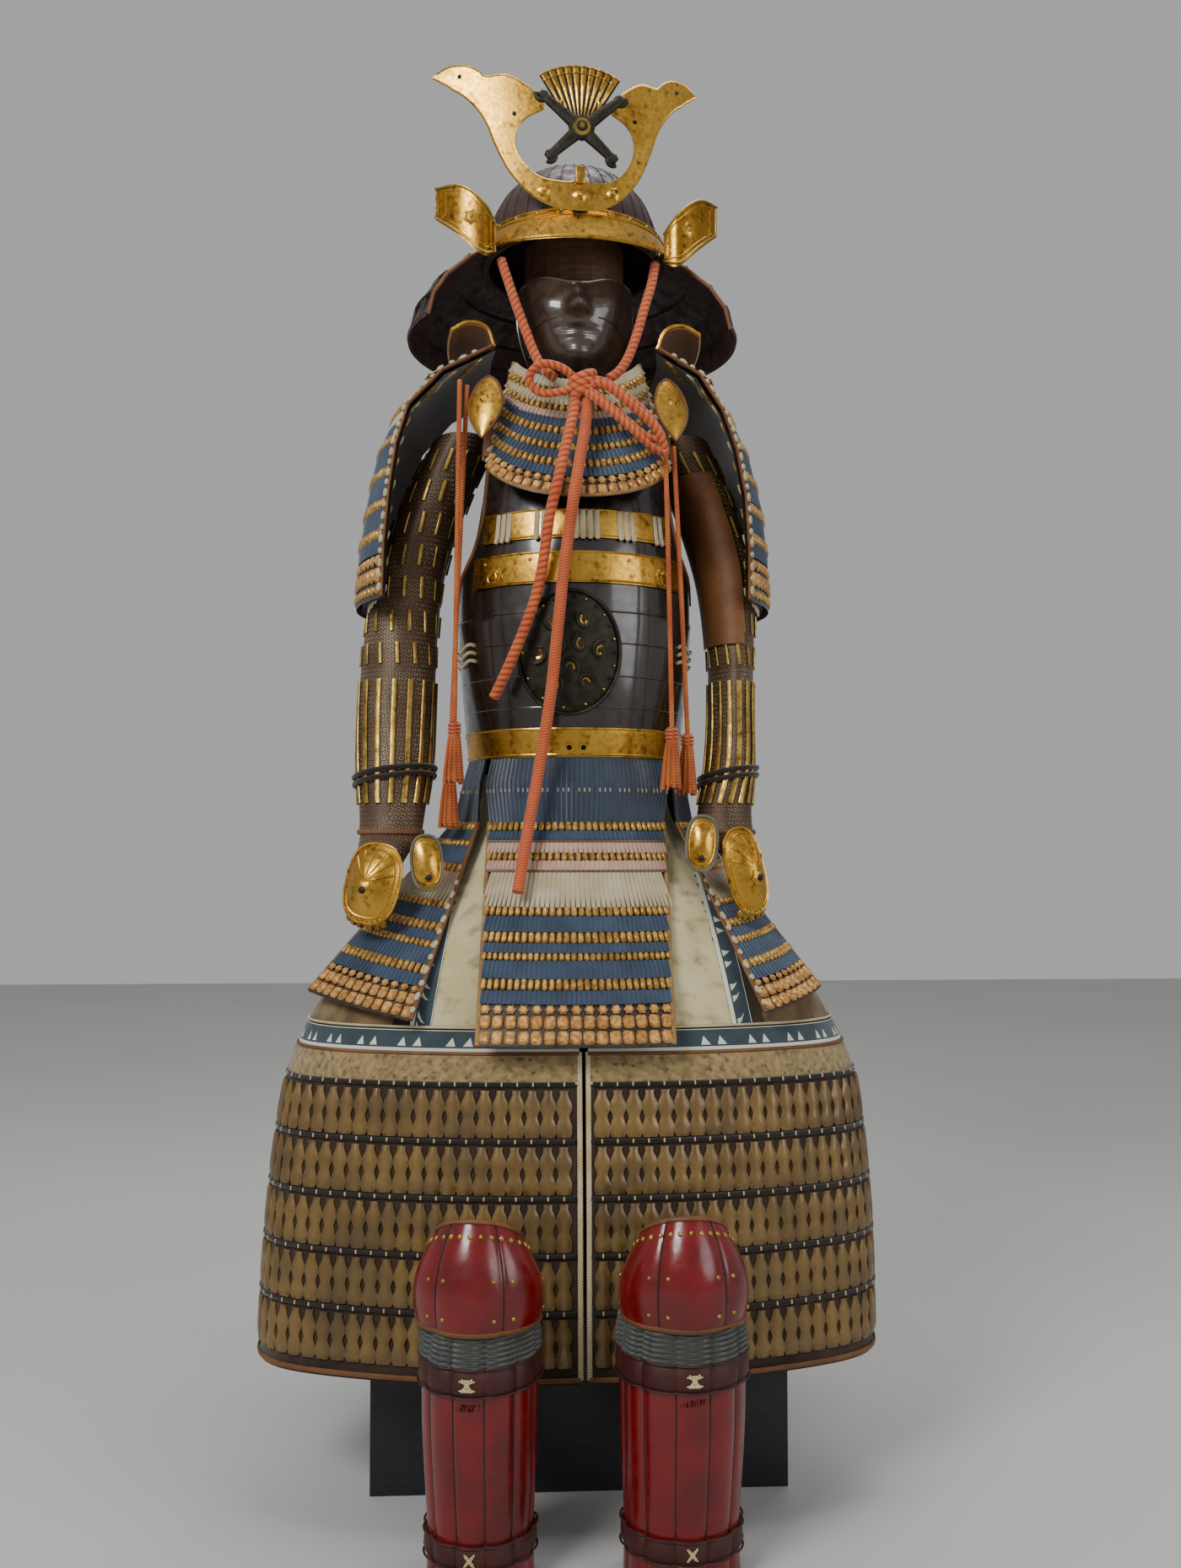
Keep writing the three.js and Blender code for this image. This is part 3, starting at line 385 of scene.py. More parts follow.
@dataclass(frozen=True)
class Leather(Finish):
    """Smoked deerskin or lacquered hide: a fine pebbled grain, creases darkened with painted shade, and
    darker worn places.
    """

    SHINE: ClassVar[Shine] = {"Specular IOR Level": 0.4}
    grain_mm: float = 2.2

    def draw(self, graph: Graph) -> tuple[Socket, Socket]:
        """Draws the grain, with painted shade in its creases, and the worn places. See Finish.draw."""
        cells = graph.add("ShaderNodeTexVoronoi", {"Vector": graph.place, "Scale": 1000 / self.grain_mm},
                          feature="DISTANCE_TO_EDGE").outputs[0]
        grain = graph.ramp(cells, 0.0, 0.25)
        # Painted shade: the colour is darkened in the creases between the grain's pebbles.
        return graph.shade(self.ground(graph), grain, "#9a9a9a", 0.6), grain


@dataclass(frozen=True)
class Wood(Finish):
    """Planed wood: grain lines along X about 3 mm apart, under paint or oil."""

    grain_mm: float = 3.0

    def draw(self, graph: Graph) -> tuple[Socket, Socket]:
        """Draws the grain as stretched noise. See Finish.draw."""
        drawn = graph.add("ShaderNodeMapping", {"Vector": graph.place, "Scale": (0.08, 1.0, 1.0)}).outputs[0]
        grain = graph.blotch(self.grain_mm * 2, place=drawn)
        return graph.blend(grain, self.colour, self.second), grain


class Dress:
    """Every finish on the armour, named for what it is."""

    BROWN_LACQUER = Lacquer("brown_black_lacquer_on_iron", "#150c07", "#20130c", 0.3, patch_mm=60,
                            bump_mm=0.05, wear=0.0)
    RED_LACQUER = Lacquer("deep_red_lacquer_on_iron", "#700507", "#560406", 0.22, patch_mm=50, bump_mm=0.04,
                          coat=0.12, wear=0.0)
    RUSSET_LACQUER = Lacquer("russet_iron_lacquer", "#2a1310", "#381b16", 0.5, patch_mm=40, coat=0.0)
    MASK_LACQUER = Lacquer("dark_brown_mask_lacquer", "#30241a", "#3c2e22", 0.34, patch_mm=40, bump_mm=0.03)
    LAME_LACQUER = Lacquer("black_lacquered_hide_lames", "#17110e", "#221813", 0.38, patch_mm=30, coat=0.3)
    GILT = GiltCopper("fire_gilt_copper", "#d3a548", "#b98a35", 0.3, metal=1.0, patch_mm=45, bump_mm=0.12)
    PALE_GILT = GiltCopper("worn_gilt_copper_splints", "#b99b52", "#8f7238", 0.42, metal=1.0, patch_mm=25)
    GOLD_LACQUER = Lacquer("gold_lacquer_on_hide_scales", "#b58a3a", "#d0a95a", 0.4, metal=0.55, patch_mm=14,
                           bump_mm=0.15, coat=0.25, worn="#6a4520", wear=0.7)
    ORANGE_GOLD = Lacquer("aged_gold_lacquer_plates", "#c08a44", "#d9a860", 0.42, metal=0.4, patch_mm=14,
                          bump_mm=0.15, coat=0.2, worn="#7a4a22", wear=0.7)
    THIGH_GOLD = Lacquer("brown_gold_lacquer_plates", "#7d6230", "#5d4724", 0.42, metal=0.35, patch_mm=60,
                         bump_mm=0.2, coat=0.3, worn="#3a2716", wear=0.8)
    BLACKENED = Finish("blackened_iron_castings", "#3a362c", "#26231d", 0.45, metal=0.8, patch_mm=12,
                       bump_mm=0.2)
    NAVY_SILK = BraidedSilk("navy_silk_lacing", "#33455c", "#425770", 0.75, patch_mm=30, bump_mm=0.25)
    CREAM_SILK = BraidedSilk("cream_silk_lacing", "#e0d3b0", "#cdbb90", 0.75, patch_mm=24, bump_mm=0.25)
    PINK_SILK = BraidedSilk("faded_pink_silk_lacing", "#e3bfa6", "#d9a893", 0.75, patch_mm=20, bump_mm=0.25)
    BROWN_SILK = BraidedSilk("brown_silk_binding", "#8a5a35", "#a8743f", 0.75, patch_mm=20, bump_mm=0.3,
                             thread_mm=4.0)
    ORANGE_CORD = TwistedCord("orange_silk_rope", "#c8572c", "#d9713c", 0.7, patch_mm=40, bump_mm=1.4,
                              strand_mm=16.0, strands=1.0)
    SMOOTH_CORD = TwistedCord("worn_smooth_orange_rope", "#d5693a", "#c45a2e", 0.7, patch_mm=40, bump_mm=0.4,
                              strand_mm=7.0, strands=2.0)
    SIDE_CORD = TwistedCord("thin_orange_cord", "#b4551f", "#cf7230", 0.7, patch_mm=40, bump_mm=0.5,
                            strand_mm=7.0, strands=1.0)
    CREAM_CORD = TwistedCord("thin_cream_cord", "#ddd0aa", "#c8b684", 0.75, patch_mm=30, bump_mm=0.3,
                             strand_mm=6.0, strands=1.0)
    DARK_CORD = TwistedCord("thin_dark_cord", "#1d1612", "#2c211a", 0.75, patch_mm=30, bump_mm=0.4,
                            strand_mm=6.0, strands=1.0)
    MAIL = Mail("rust_brown_mail_on_hemp", "#a38a66", "#7a5b40", 0.5, patch_mm=60, bump_mm=1.2)
    CREAM_CLOTH = Cloth("aged_cream_cloth", "#d8cda0", "#c9bb88", 0.85, patch_mm=70, bump_mm=0.12,
                        stain="#8c8258")
    BROWN_CLOTH = Cloth("dark_brown_cloth", "#33241a", "#40301f", 0.85, patch_mm=50, bump_mm=0.15,
                        stain="#241811")
    TAN_CLOTH = Cloth("aged_tan_cloth", "#8d7450", "#6b5436", 0.85, patch_mm=40, bump_mm=0.15,
                      stain="#4a3825")
    BROCADE = Cloth("worn_gold_brocade", "#b39a66", "#8b7650", 0.8, patch_mm=9, bump_mm=0.3,
                    stain="#4c3c26", stain_mm=7.0)
    TAPE = TriangleTape("navy_tape_with_pale_triangles", "#2d3a3f", "#35444a", 0.8, patch_mm=30, bump_mm=0.1)
    SMOKED_LEATHER = Leather("smoked_brown_leather", "#6a4020", "#7d5028", 0.55, patch_mm=40, bump_mm=0.12)
    TAN_LEATHER = Leather("tan_leather_binding", "#a8834c", "#8a683a", 0.6, patch_mm=30, bump_mm=0.15)
    MAROON_LEATHER = Leather("maroon_leather", "#3c1512", "#4a1d17", 0.5, patch_mm=30, bump_mm=0.12)
    GREY_LEATHER = Leather("grey_green_leather_rims", "#77745c", "#5f5a44", 0.6, patch_mm=20, bump_mm=0.15)
    GREEN_BAND = BraidedSilk("green_laced_band", "#3d4a34", "#2e3a28", 0.8, patch_mm=20, bump_mm=0.5,
                             thread_mm=4.0)
    BLACK_WOOD = Wood("black_painted_chest_wood", "#15161b", "#1b1c22", 0.42, patch_mm=60, bump_mm=0.08)
    PLAIN_WOOD = Wood("oiled_cedar_stand", "#6a4c33", "#553a26", 0.6, patch_mm=60, bump_mm=0.15)
    FLOOR = Finish("pale_matt_floor", "#b9b9b6", "#b4b4b1", 0.85, patch_mm=900, bump_mm=0.05)


# ---------------------------------------------------------------- surfaces
class Sections:
    """A table of sections by height, joined by smooth curves."""

    def __init__(self, names: str, *rows: tuple[float, ...]) -> None:
        """Takes the columns' names, the height first, and the rows from the top down."""
        self.names = names.split()
        self.rows = rows

    def at(self, z: float) -> dict[str, float]:
        """Works out the section at a height.

        Args:
            z: the height, in millimetres.

        Returns:
            Each named column's value there.
        """
        rows = self.rows
        i = next((k for k in range(len(rows) - 2) if z >= rows[k + 1][0]), len(rows) - 2)
        t = min(max((rows[i][0] - z) / (rows[i][0] - rows[i + 1][0]), -0.5), 1.5)
        before, after = rows[max(i - 1, 0)], rows[min(i + 2, len(rows) - 1)]
        span = rows[i][0] - rows[i + 1][0]
        found = {}
        for k, name in enumerate(self.names):
            a, b = rows[i][k], rows[i + 1][k]
            slope_a = (b - before[k]) / (before[0] - rows[i + 1][0]) * span
            slope_b = (after[k] - a) / (rows[i][0] - after[0]) * span
            if 0 <= t <= 1:
                found[name] = (a * (2 * t ** 3 - 3 * t ** 2 + 1) + slope_a * (t ** 3 - 2 * t ** 2 + t)
                               + b * (3 * t ** 2 - 2 * t ** 3) + slope_b * (t ** 3 - t ** 2))
            else:
                found[name] = a + (b - a) * t
        return found


Path = tuple[tuple[float, float, float], ...]


def mix(a: float, b: float, t: float) -> float:
    """Returns the value a share t of the way from a to b."""
    return a + (b - a) * t


def turns(count: int) -> list[float]:
    """Returns count + 1 evenly spaced angles, once round from 0."""
    return [i / count * 2 * math.pi for i in range(count + 1)]


def length(points: Sequence[Vector]) -> float:
    """Measures along a line of points."""
    return sum((b - a).length for a, b in zip(points, points[1:]))


def placed(spot: Sequence[float], *rotations: tuple[float, str]) -> Matrix:
    """Returns a place: a spot in millimetres, then rotations, each by its angle in radians and its axis."""
    place = Matrix.Translation(spot)
    for angle, axis in rotations:
        place = place @ Matrix.Rotation(angle, 4, axis)
    return place


@dataclass
class Patch:
    """A panel's surface. at gives its point by a share across, left to right from outside, and down."""

    at: Callable[[float, float], Vector]

    def frame(self, u: float, v: float, out: float = 0.0, turn: float = 0.0) -> Matrix:
        """Makes the axes that stand on the surface: X across, Y up it and Z away from it.

        Args:
            u: the share across.
            v: the share down.
            out: how far from the surface, in millimetres.
            turn: a turn about Z, in radians.

        Returns:
            The place as a matrix.
        """
        step = 0.004
        across = self.at(u + step, v) - self.at(u - step, v)
        down = self.at(u, v + step) - self.at(u, v - step)
        z = down.cross(across).normalized()
        x = across.normalized()
        y = z.cross(x)
        place = Matrix((x, y, z)).transposed().to_4x4()
        place.translation = self.at(u, v) + z * out
        return place @ Matrix.Rotation(turn, 4, "Z")

    def out(self, u: float, v: float, away: float) -> Vector:
        """Returns the point at u and v, moved away from the surface."""
        return self.frame(u, v, away).translation

    def across(self, v: float, away: float, steps: int) -> list[Vector]:
        """Returns the steps + 1 points of a line across at a share down, moved away from the surface."""
        return [self.out(i / steps, v, away) for i in range(steps + 1)]

    def down(self, u: float, away: float, steps: int, top: float = 0.0, foot: float = 1.0) -> list[Vector]:
        """Returns the steps + 1 points of a line down at a share across, moved away from the surface."""
        return [self.out(u, mix(top, foot, i / steps), away) for i in range(steps + 1)]

    def width(self, v: float, left: float = 0.0, right: float = 1.0) -> float:
        """Measures across the panel at a share down it."""
        return length([self.at(mix(left, right, i / 10), v) for i in range(11)])

    def height(self, top: float = 0.0, foot: float = 1.0) -> float:
        """Measures down the middle of the panel."""
        return length([self.at(0.5, mix(top, foot, i / 10)) for i in range(11)])

    def part(self, u: tuple[float, float], v: tuple[float, float]) -> "Patch":
        """Returns the part of the surface between two shares across and two shares down."""
        return Patch(lambda a, b: self.at(mix(u[0], u[1], a), mix(v[0], v[1], b)))

    def lay(self, columns: int, rows: Sequence[tuple[float, float]]) -> BMesh:
        """Lays a grid on the surface, with its unrolled size in metres as its UV map.

        Args:
            columns: how many faces across.
            rows: for each line of points down, the share down and how far it stands out.

        Returns:
            The grid.
        """
        bm = bmesh.new()
        bmesh.ops.create_grid(bm, x_segments=columns, y_segments=len(rows) - 1, size=1)
        unrolled = {}
        widths = [self.width(v) for v, _ in rows]
        downs = [0.0]
        for (a, _), (b, _) in zip(rows, rows[1:]):
            downs.append(downs[-1] + (self.at(0.5, b) - self.at(0.5, a)).length)
        for vert in bm.verts:
            u = (vert.co.x + 1) / 2
            r = round((1 - vert.co.y) / 2 * (len(rows) - 1))
            v, away = rows[r]
            unrolled[vert] = ((u - 0.5) * widths[r] * MM, -downs[r] * MM)
            vert.co = self.out(u, v, away) if away else self.at(u, v)
        unroll(bm, unrolled.get)
        return bm


def unroll(bm: BMesh, spot: Callable[[bmesh.types.BMVert], Sequence[float]]) -> None:
    """Gives a shape its UV map. spot gives each vertex's place on it."""
    layer = bm.loops.layers.uv.verify()
    for face in bm.faces:
        for loop in face.loops:
            loop[layer].uv = spot(loop.vert)


def even_rows(count: int, away: float = 0.0) -> list[tuple[float, float]]:
    """Returns count + 1 evenly spaced rows for Patch.lay, all standing out by the same amount."""
    return [(i / count, away) for i in range(count + 1)]


def stepped_rows(cuts: Sequence[float], step: float, parts: int = 3) -> list[tuple[float, float]]:
    """Returns the rows of lames that each stand out over the next one down.

    Args:
        cuts: the shares down where a lame starts or ends.
        step: how far a lame's foot stands out.
        parts: how many faces down each lame has.

    Returns:
        Rows for Patch.lay.
    """
    rows = []
    for top, foot in zip(cuts, cuts[1:]):
        rows += [(mix(top, foot, (i + (0.02 if top else 0)) / parts if i == 0 else i / parts),
                  step * i / parts) for i in range(parts + 1)]
    return rows


# ---------------------------------------------------------------- pieces
def to_mesh(name: str, bm: BMesh) -> bpy.types.Mesh:
    """Turns a shape, which is freed, to a mesh."""
    mesh = bpy.data.meshes.new(name)
    bm.to_mesh(mesh)
    bm.free()
    return mesh


def link(name: str, data: bpy.types.ID) -> bpy.types.Object:
    """Makes an object of some data and puts it in the scene."""
    made = bpy.data.objects.new(name, data)
    bpy.context.scene.collection.objects.link(made)
    return made


def add_piece(name: str, bm: BMesh, finishes: Sequence[Finish],
              replaces: Sequence[str] = ()) -> bpy.types.Object:
    """Makes a finished piece of the armour from a shape in millimetres.

    Args:
        name: the piece's name.
        bm: its shape, which is freed.
        finishes: the finish for each material number.
        replaces: the plain nodes that it stands for.

    Returns:
        The piece.
    """
    bmesh.ops.transform(bm, matrix=Matrix.Scale(MM, 4), verts=bm.verts)
    mesh = to_mesh(name, bm)
    for finish in finishes:
        mesh.materials.append(finish.material())
    mesh.shade_smooth()
    mesh.set_sharp_from_angle(angle=math.radians(SHARP_ANGLE))
    made = link(name, mesh)
    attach(made, BODY)
    if replaces:
        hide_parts(*replaces)
    log.info("%s: %d faces", name, len(mesh.polygons))
    return made


def thicken(bm: BMesh, thick: float) -> BMesh:
    """Gives a shell its thickness, behind its outer face, and returns it."""
    bmesh.ops.solidify(bm, geom=bm.faces[:], thickness=thick)
    return bm


def join(bm: BMesh, other: BMesh, material: int = 0) -> None:
    """Adds another shape to this one.

    Args:
        bm: the shape that grows.
        other: the shape that is added and freed.
        material: the material number of the added faces.
    """
    mesh = to_mesh("joining", other)
    if material:
        mesh.polygons.foreach_set("material_index", [material] * len(mesh.polygons))
    bm.from_mesh(mesh)
    bpy.data.meshes.remove(mesh)


def keep(bm: BMesh, name: str) -> bpy.types.Mesh:
    """Turns a small shape that is used many times to a mesh, with its flat size in metres as its UV map."""
    unroll(bm, lambda vert: vert.co.xy * MM)
    return to_mesh(name, bm)


def cone(segments: int, foot: float, head: float, high: float, place: Matrix) -> BMesh:
    """Makes a closed cone, its middle and its Z axis at a place. foot and head are its end radii."""
    bm = bmesh.new()
    bmesh.ops.create_cone(bm, cap_ends=True, segments=segments, radius1=foot, radius2=head, depth=high)
    bmesh.ops.transform(bm, matrix=place, verts=bm.verts)
    return bm


def box(size: Sequence[float], rounding: float, middle: Sequence[float]) -> BMesh:
    """Makes a box with rounded edges."""
    bm = bmesh.new()
    bmesh.ops.create_cube(bm, size=1)
    bmesh.ops.scale(bm, vec=size, verts=bm.verts)
    bmesh.ops.bevel(bm, geom=bm.edges[:], offset=rounding, segments=2, profile=0.5, material=-1,
                    affect="EDGES")
    bmesh.ops.translate(bm, vec=middle, verts=bm.verts)
    return bm


class Stock:
    """The small shapes that the armour repeats, each made once."""

    def __init__(self) -> None:
        """Starts with no shapes."""
        self.made: dict[tuple, bpy.types.Mesh] = {}

    def get(self, kind: str, *size: float) -> bpy.types.Mesh:
        """Gives a small shape of a size, rounded to half a millimetre.

        Args:
            kind: the name of the method that makes it.
            *size: its sizes in millimetres.

        Returns:
            The shape, standing on the XY plane with Z away from the surface.
        """
        key = (kind, *[round(n * 2) / 2 for n in size])
        if key not in self.made:
            self.made[key] = keep(getattr(self, kind)(*key[1:]), kind)
        return self.made[key]

    def block(self, wide: float, high: float, thick: float, rounding: float) -> BMesh:
        """Makes a block with rounded front edges and an open back."""
        bm = bmesh.new()
        bmesh.ops.create_cube(bm, size=1)
        bmesh.ops.translate(bm, vec=(0, 0, 0.5), verts=bm.verts)
        bmesh.ops.scale(bm, vec=(wide, high, thick), verts=bm.verts)
        back = [f for f in bm.faces if f.normal.z < -0.5]
        bmesh.ops.delete(bm, geom=back, context="FACES_ONLY")
        edges = [e for e in bm.edges if len(e.link_faces) == 2]
        bmesh.ops.bevel(bm, geom=edges, offset=rounding, segments=1, profile=0.5, material=-1, affect="EDGES")
        return bm

    def head(self, wide: float, high: float) -> BMesh:
        """Makes the rounded head of one small scale."""
        return self.block(wide, high, 3.0, min(wide, high) * 0.3)

    def strand(self, wide: float, high: float) -> BMesh:
        """Makes one flat strand of upright lacing, rounded along both sides."""
        bm = bmesh.new()
        bmesh.ops.create_grid(bm, x_segments=4, y_segments=1, size=0.5)
        bmesh.ops.scale(bm, vec=(wide, high, 1), verts=bm.verts)
        for vert in bm.verts:
            vert.co.z = 1.8 * (1 - (2 * vert.co.x / wide) ** 2) ** 0.5 if abs(vert.co.x) < wide * 0.49 else 0
        return bm

    def plate(self, wide: float, high: float) -> BMesh:
        """Makes a rounded-square gold plate."""
        return self.block(wide, high, 3.0, min(wide, high) * 0.22)

    def rosette(self, radius: float) -> BMesh:
        """Makes a small round-petalled flower."""
        bm = cone(12, radius, radius * 0.5, 2.4, placed((0, 0, 1.2)))
        rim = sorted((v for v in bm.verts if v.co.z < 1), key=lambda v: math.atan2(v.co.y, v.co.x))
        bmesh.ops.scale(bm, vec=(0.76, 0.76, 1), verts=rim[::2])
        return bm

    def stud(self, radius: float, high: float) -> BMesh:
        """Makes a round-headed stud."""
        bm = bmesh.new()
        bmesh.ops.create_uvsphere(bm, u_segments=8, v_segments=6, radius=1)
        bmesh.ops.scale(bm, vec=(radius, radius, high), verts=bm.verts)
        low = [v for v in bm.verts if v.co.z < -0.01]
        bmesh.ops.delete(bm, geom=low, context="VERTS")
        return bm

    def bead(self, wide: float, high: float) -> BMesh:
        """Makes a soft bead of cord, as wide and high as it is given."""
        bm = bmesh.new()
        bmesh.ops.create_icosphere(bm, subdivisions=1, radius=0.5)
        bmesh.ops.scale(bm, vec=(wide, high, min(wide, high) * 0.8), verts=bm.verts)
        return bm

    def keyhole(self, wide: float, high: float) -> BMesh:
        """Makes a long leather plate with a narrow neck and waist, so that holes show between neighbours."""
        outline = Sections("y share", (1.0, 0.56), (0.9, 0.5), (0.8, 0.74), (0.72, 0.97), (0.58, 0.97),
                           (0.48, 0.7), (0.38, 0.66), (0.28, 0.96), (0.06, 0.97), (0.0, 0.8))
        bm = bmesh.new()
        bmesh.ops.create_grid(bm, x_segments=4, y_segments=12, size=0.5)
        for vert in bm.verts:
            share = outline.at(vert.co.y + 0.5)["share"]
            vert.co.z = 3.4 * (1 - (2 * vert.co.x) ** 2 * 0.7) * (1 - (2 * vert.co.y) ** 6 * 0.5)
            vert.co.x *= wide * share
            vert.co.y *= high
        rim = [e for e in bm.edges if e.is_boundary]
        skirt = bmesh.ops.extrude_edge_only(bm, edges=rim)["geom"]
        low = [v for v in skirt if isinstance(v, bmesh.types.BMVert)]
        bmesh.ops.translate(bm, vec=(0, 0, -2.4), verts=low)
        bmesh.ops.recalc_face_normals(bm, faces=bm.faces)
        if sum(f.normal.z for f in bm.faces) < 0:
            bmesh.ops.reverse_faces(bm, faces=bm.faces)
        return bm

    def stamp(self, bm: BMesh, place: Matrix, material: int, kind: str, *size: float) -> None:
        """Adds one small shape.

        Args:
            bm: the shape that it is added to.
            place: where it stands.
            material: its material number.
            kind: the name of the method that makes it.
            *size: its sizes in millimetres.
        """
        copy = self.get(kind, *size).copy()
        copy.transform(place)
        copy.polygons.foreach_set("material_index", [material] * len(copy.polygons))
        bm.from_mesh(copy)
        bpy.data.meshes.remove(copy)


STOCK = Stock()


Size = float | Callable[[float], float]


def sweep(points: Sequence[Vector], wide: Size, thick: Size | None = None,
          facing: Vector | Sequence[Vector] | None = None, around: int = 6, closed: bool = False) -> BMesh:
    """Runs a round or oval section along a line.

    Args:
        points: the line.
        wide: the section's width, or its width by the share along.
        thick: its thickness, the same as its width where it is left out.
        facing: which way its thin side faces, all along or at each point.
        around: how many faces it has round it.
        closed: whether the line's end meets its start.

    Returns:
        A closed tube. Its UV map holds the share round it and the metres along it.
    """
    thick = wide if thick is None else thick
    value = lambda size, t: size(t) if callable(size) else size
    count = len(points)
    bm = bmesh.new()
    bmesh.ops.create_grid(bm, x_segments=around, y_segments=count - 1, size=1)
    lengths = [0.0]
    for a, b in zip(points, points[1:]):
        lengths.append(lengths[-1] + (b - a).length)
    rings = []
    side = None
    for i, point in enumerate(points):
        if closed:
            ahead, behind = points[(i + 1) % (count - 1)], points[(i - 1) % (count - 1)]
        else:
            ahead, behind = points[min(i + 1, count - 1)], points[max(i - 1, 0)]
        along = (ahead - behind).normalized()
        if facing is None:
            start = along.orthogonal() if side is None else side
        else:
            start = facing if isinstance(facing, Vector) else facing[i]
        side = (start - along * start.dot(along)).normalized()
        t = i / (count - 1)
        rings.append((point, along.cross(side), side, value(wide, t) / 2, value(thick, t) / 2))
    flat = {}
    for vert in bm.verts:
        share = (vert.co.x + 1) / 2
        r = round((vert.co.y + 1) / 2 * (count - 1))
        point, x, y, half, deep = rings[r]
        angle = share * 2 * math.pi
        flat[vert] = (share, lengths[r] * MM)
        vert.co = point + x * (half * math.cos(angle)) + y * (deep * math.sin(angle))
    unroll(bm, flat.get)
    bmesh.ops.remove_doubles(bm, verts=bm.verts, dist=0.001)
    if not closed:
        bmesh.ops.holes_fill(bm, edges=[e for e in bm.edges if e.is_boundary], sides=0)
    bmesh.ops.recalc_face_normals(bm, faces=bm.faces)
    return bm


def draw(bm: BMesh, line: Sequence[Vector], wide: Size, material: int = 0, around: int = 6,
         closed: bool = False) -> None:
    """Adds a round cord or border line to a shape. See join and sweep for the arguments."""
    join(bm, sweep(line, wide, around=around, closed=closed), material)


def strip(patch: Patch, u: float, top: float, foot: float, wide: float, thick: float, out: float,
          lean: float = 0.0, steps: int = 10, around: int = 8) -> BMesh:
    """Lays a thin flat bar down a surface.

    Args:
        patch: the surface.
        u: the share across where it starts.
        top: the share down where it starts.
        foot: the share down where it ends.
        wide: its width.
        thick: its thickness.
        out: how far its middle stands from the surface.
        lean: how far across it has moved at its foot.
        steps: how many stretches it has.
        around: how many faces it has round it.

    Returns:
        The bar.
    """
    places = [patch.frame(u + lean * i / steps, mix(top, foot, i / steps), out) for i in range(steps + 1)]
    return sweep([p.to_translation() for p in places], wide, thick, [p.col[2].xyz for p in places], around)


def band(patch: Patch, v: float, wide: float, thick: float, out: float, left: float = 0.0, right: float = 1.0,
         steps: int = 56) -> BMesh:
    """Lays a flat band across a surface. See strip for the arguments."""
    places = [patch.frame(mix(left, right, i / steps), v, out) for i in range(steps + 1)]
    return sweep([p.to_translation() for p in places], wide, thick, [p.col[2].xyz for p in places], 8)


def curve(points: Sequence[Sequence[float]], steps: int) -> list[Vector]:
    """Runs a smooth line through points.

    Args:
        points: the points, in millimetres.
        steps: how many stretches each gap is cut into.

    Returns:
        The line's points.
    """
    known = [Vector(p) for p in points]
    line = []
    for i in range(len(known) - 1):
        a, b = known[i], known[i + 1]
        before, after = known[max(i - 1, 0)], known[min(i + 2, len(known) - 1)]
        for k in range(steps):
            t = k / steps
            line.append(0.5 * ((2 * a) + (b - before) * t + (2 * before - 5 * a + 4 * b - after) * t ** 2
                               + (3 * a - before - 3 * b + after) * t ** 3))
    line.append(known[-1])
    return line


# ---------------------------------------------------------------- laced panels
class Weave(Enum):
    """What covers a row of a laced panel."""

    SILK = "upright silk lacing"
    HEADS = "heads of small gold scales"
    PLATES = "rounded-square gold plates"
    ROSETTES = "small gold flowers"
    STUDS = "round gold studs"
    TWIST = "a thin twisted cord laid across"


@dataclass(frozen=True)
class LaceRow:
    """One row of a laced panel: what covers it, its height, its finish and how far apart its pieces are."""

    weave: Weave
    high: float
    finish: Finish
    pitch: float = 6.0
    out: float = 0.4


NAVY, CREAM, PINK = Dress.NAVY_SILK, Dress.CREAM_SILK, Dress.PINK_SILK


def silk(high: float, finish: Finish = NAVY, pitch: float = 5.6) -> LaceRow:
    """Returns a row of upright lacing."""
    return LaceRow(Weave.SILK, high, finish, pitch)


def heads(high: float = 11.5, pitch: float = 8.0) -> LaceRow:
    """Returns a row of gold scale heads."""
    return LaceRow(Weave.HEADS, high, Dress.GOLD_LACQUER, pitch, 1.2)


def plates(high: float = 16.5, pitch: float = 15.0) -> LaceRow:
    """Returns a row of gold plates."""
    return LaceRow(Weave.PLATES, high, Dress.ORANGE_GOLD, pitch, 1.6)


def twist(high: float = 4.0) -> LaceRow:
    """Returns a thin brown cord laid across."""
    return LaceRow(Weave.TWIST, high, Dress.BROWN_SILK, 6.0, 1.2)


def rosettes(high: float = 11.0, pitch: float = 15.0) -> LaceRow:
    """Returns a row of gold flowers."""
    return LaceRow(Weave.ROSETTES, high, Dress.ORANGE_GOLD, pitch, 1.4)


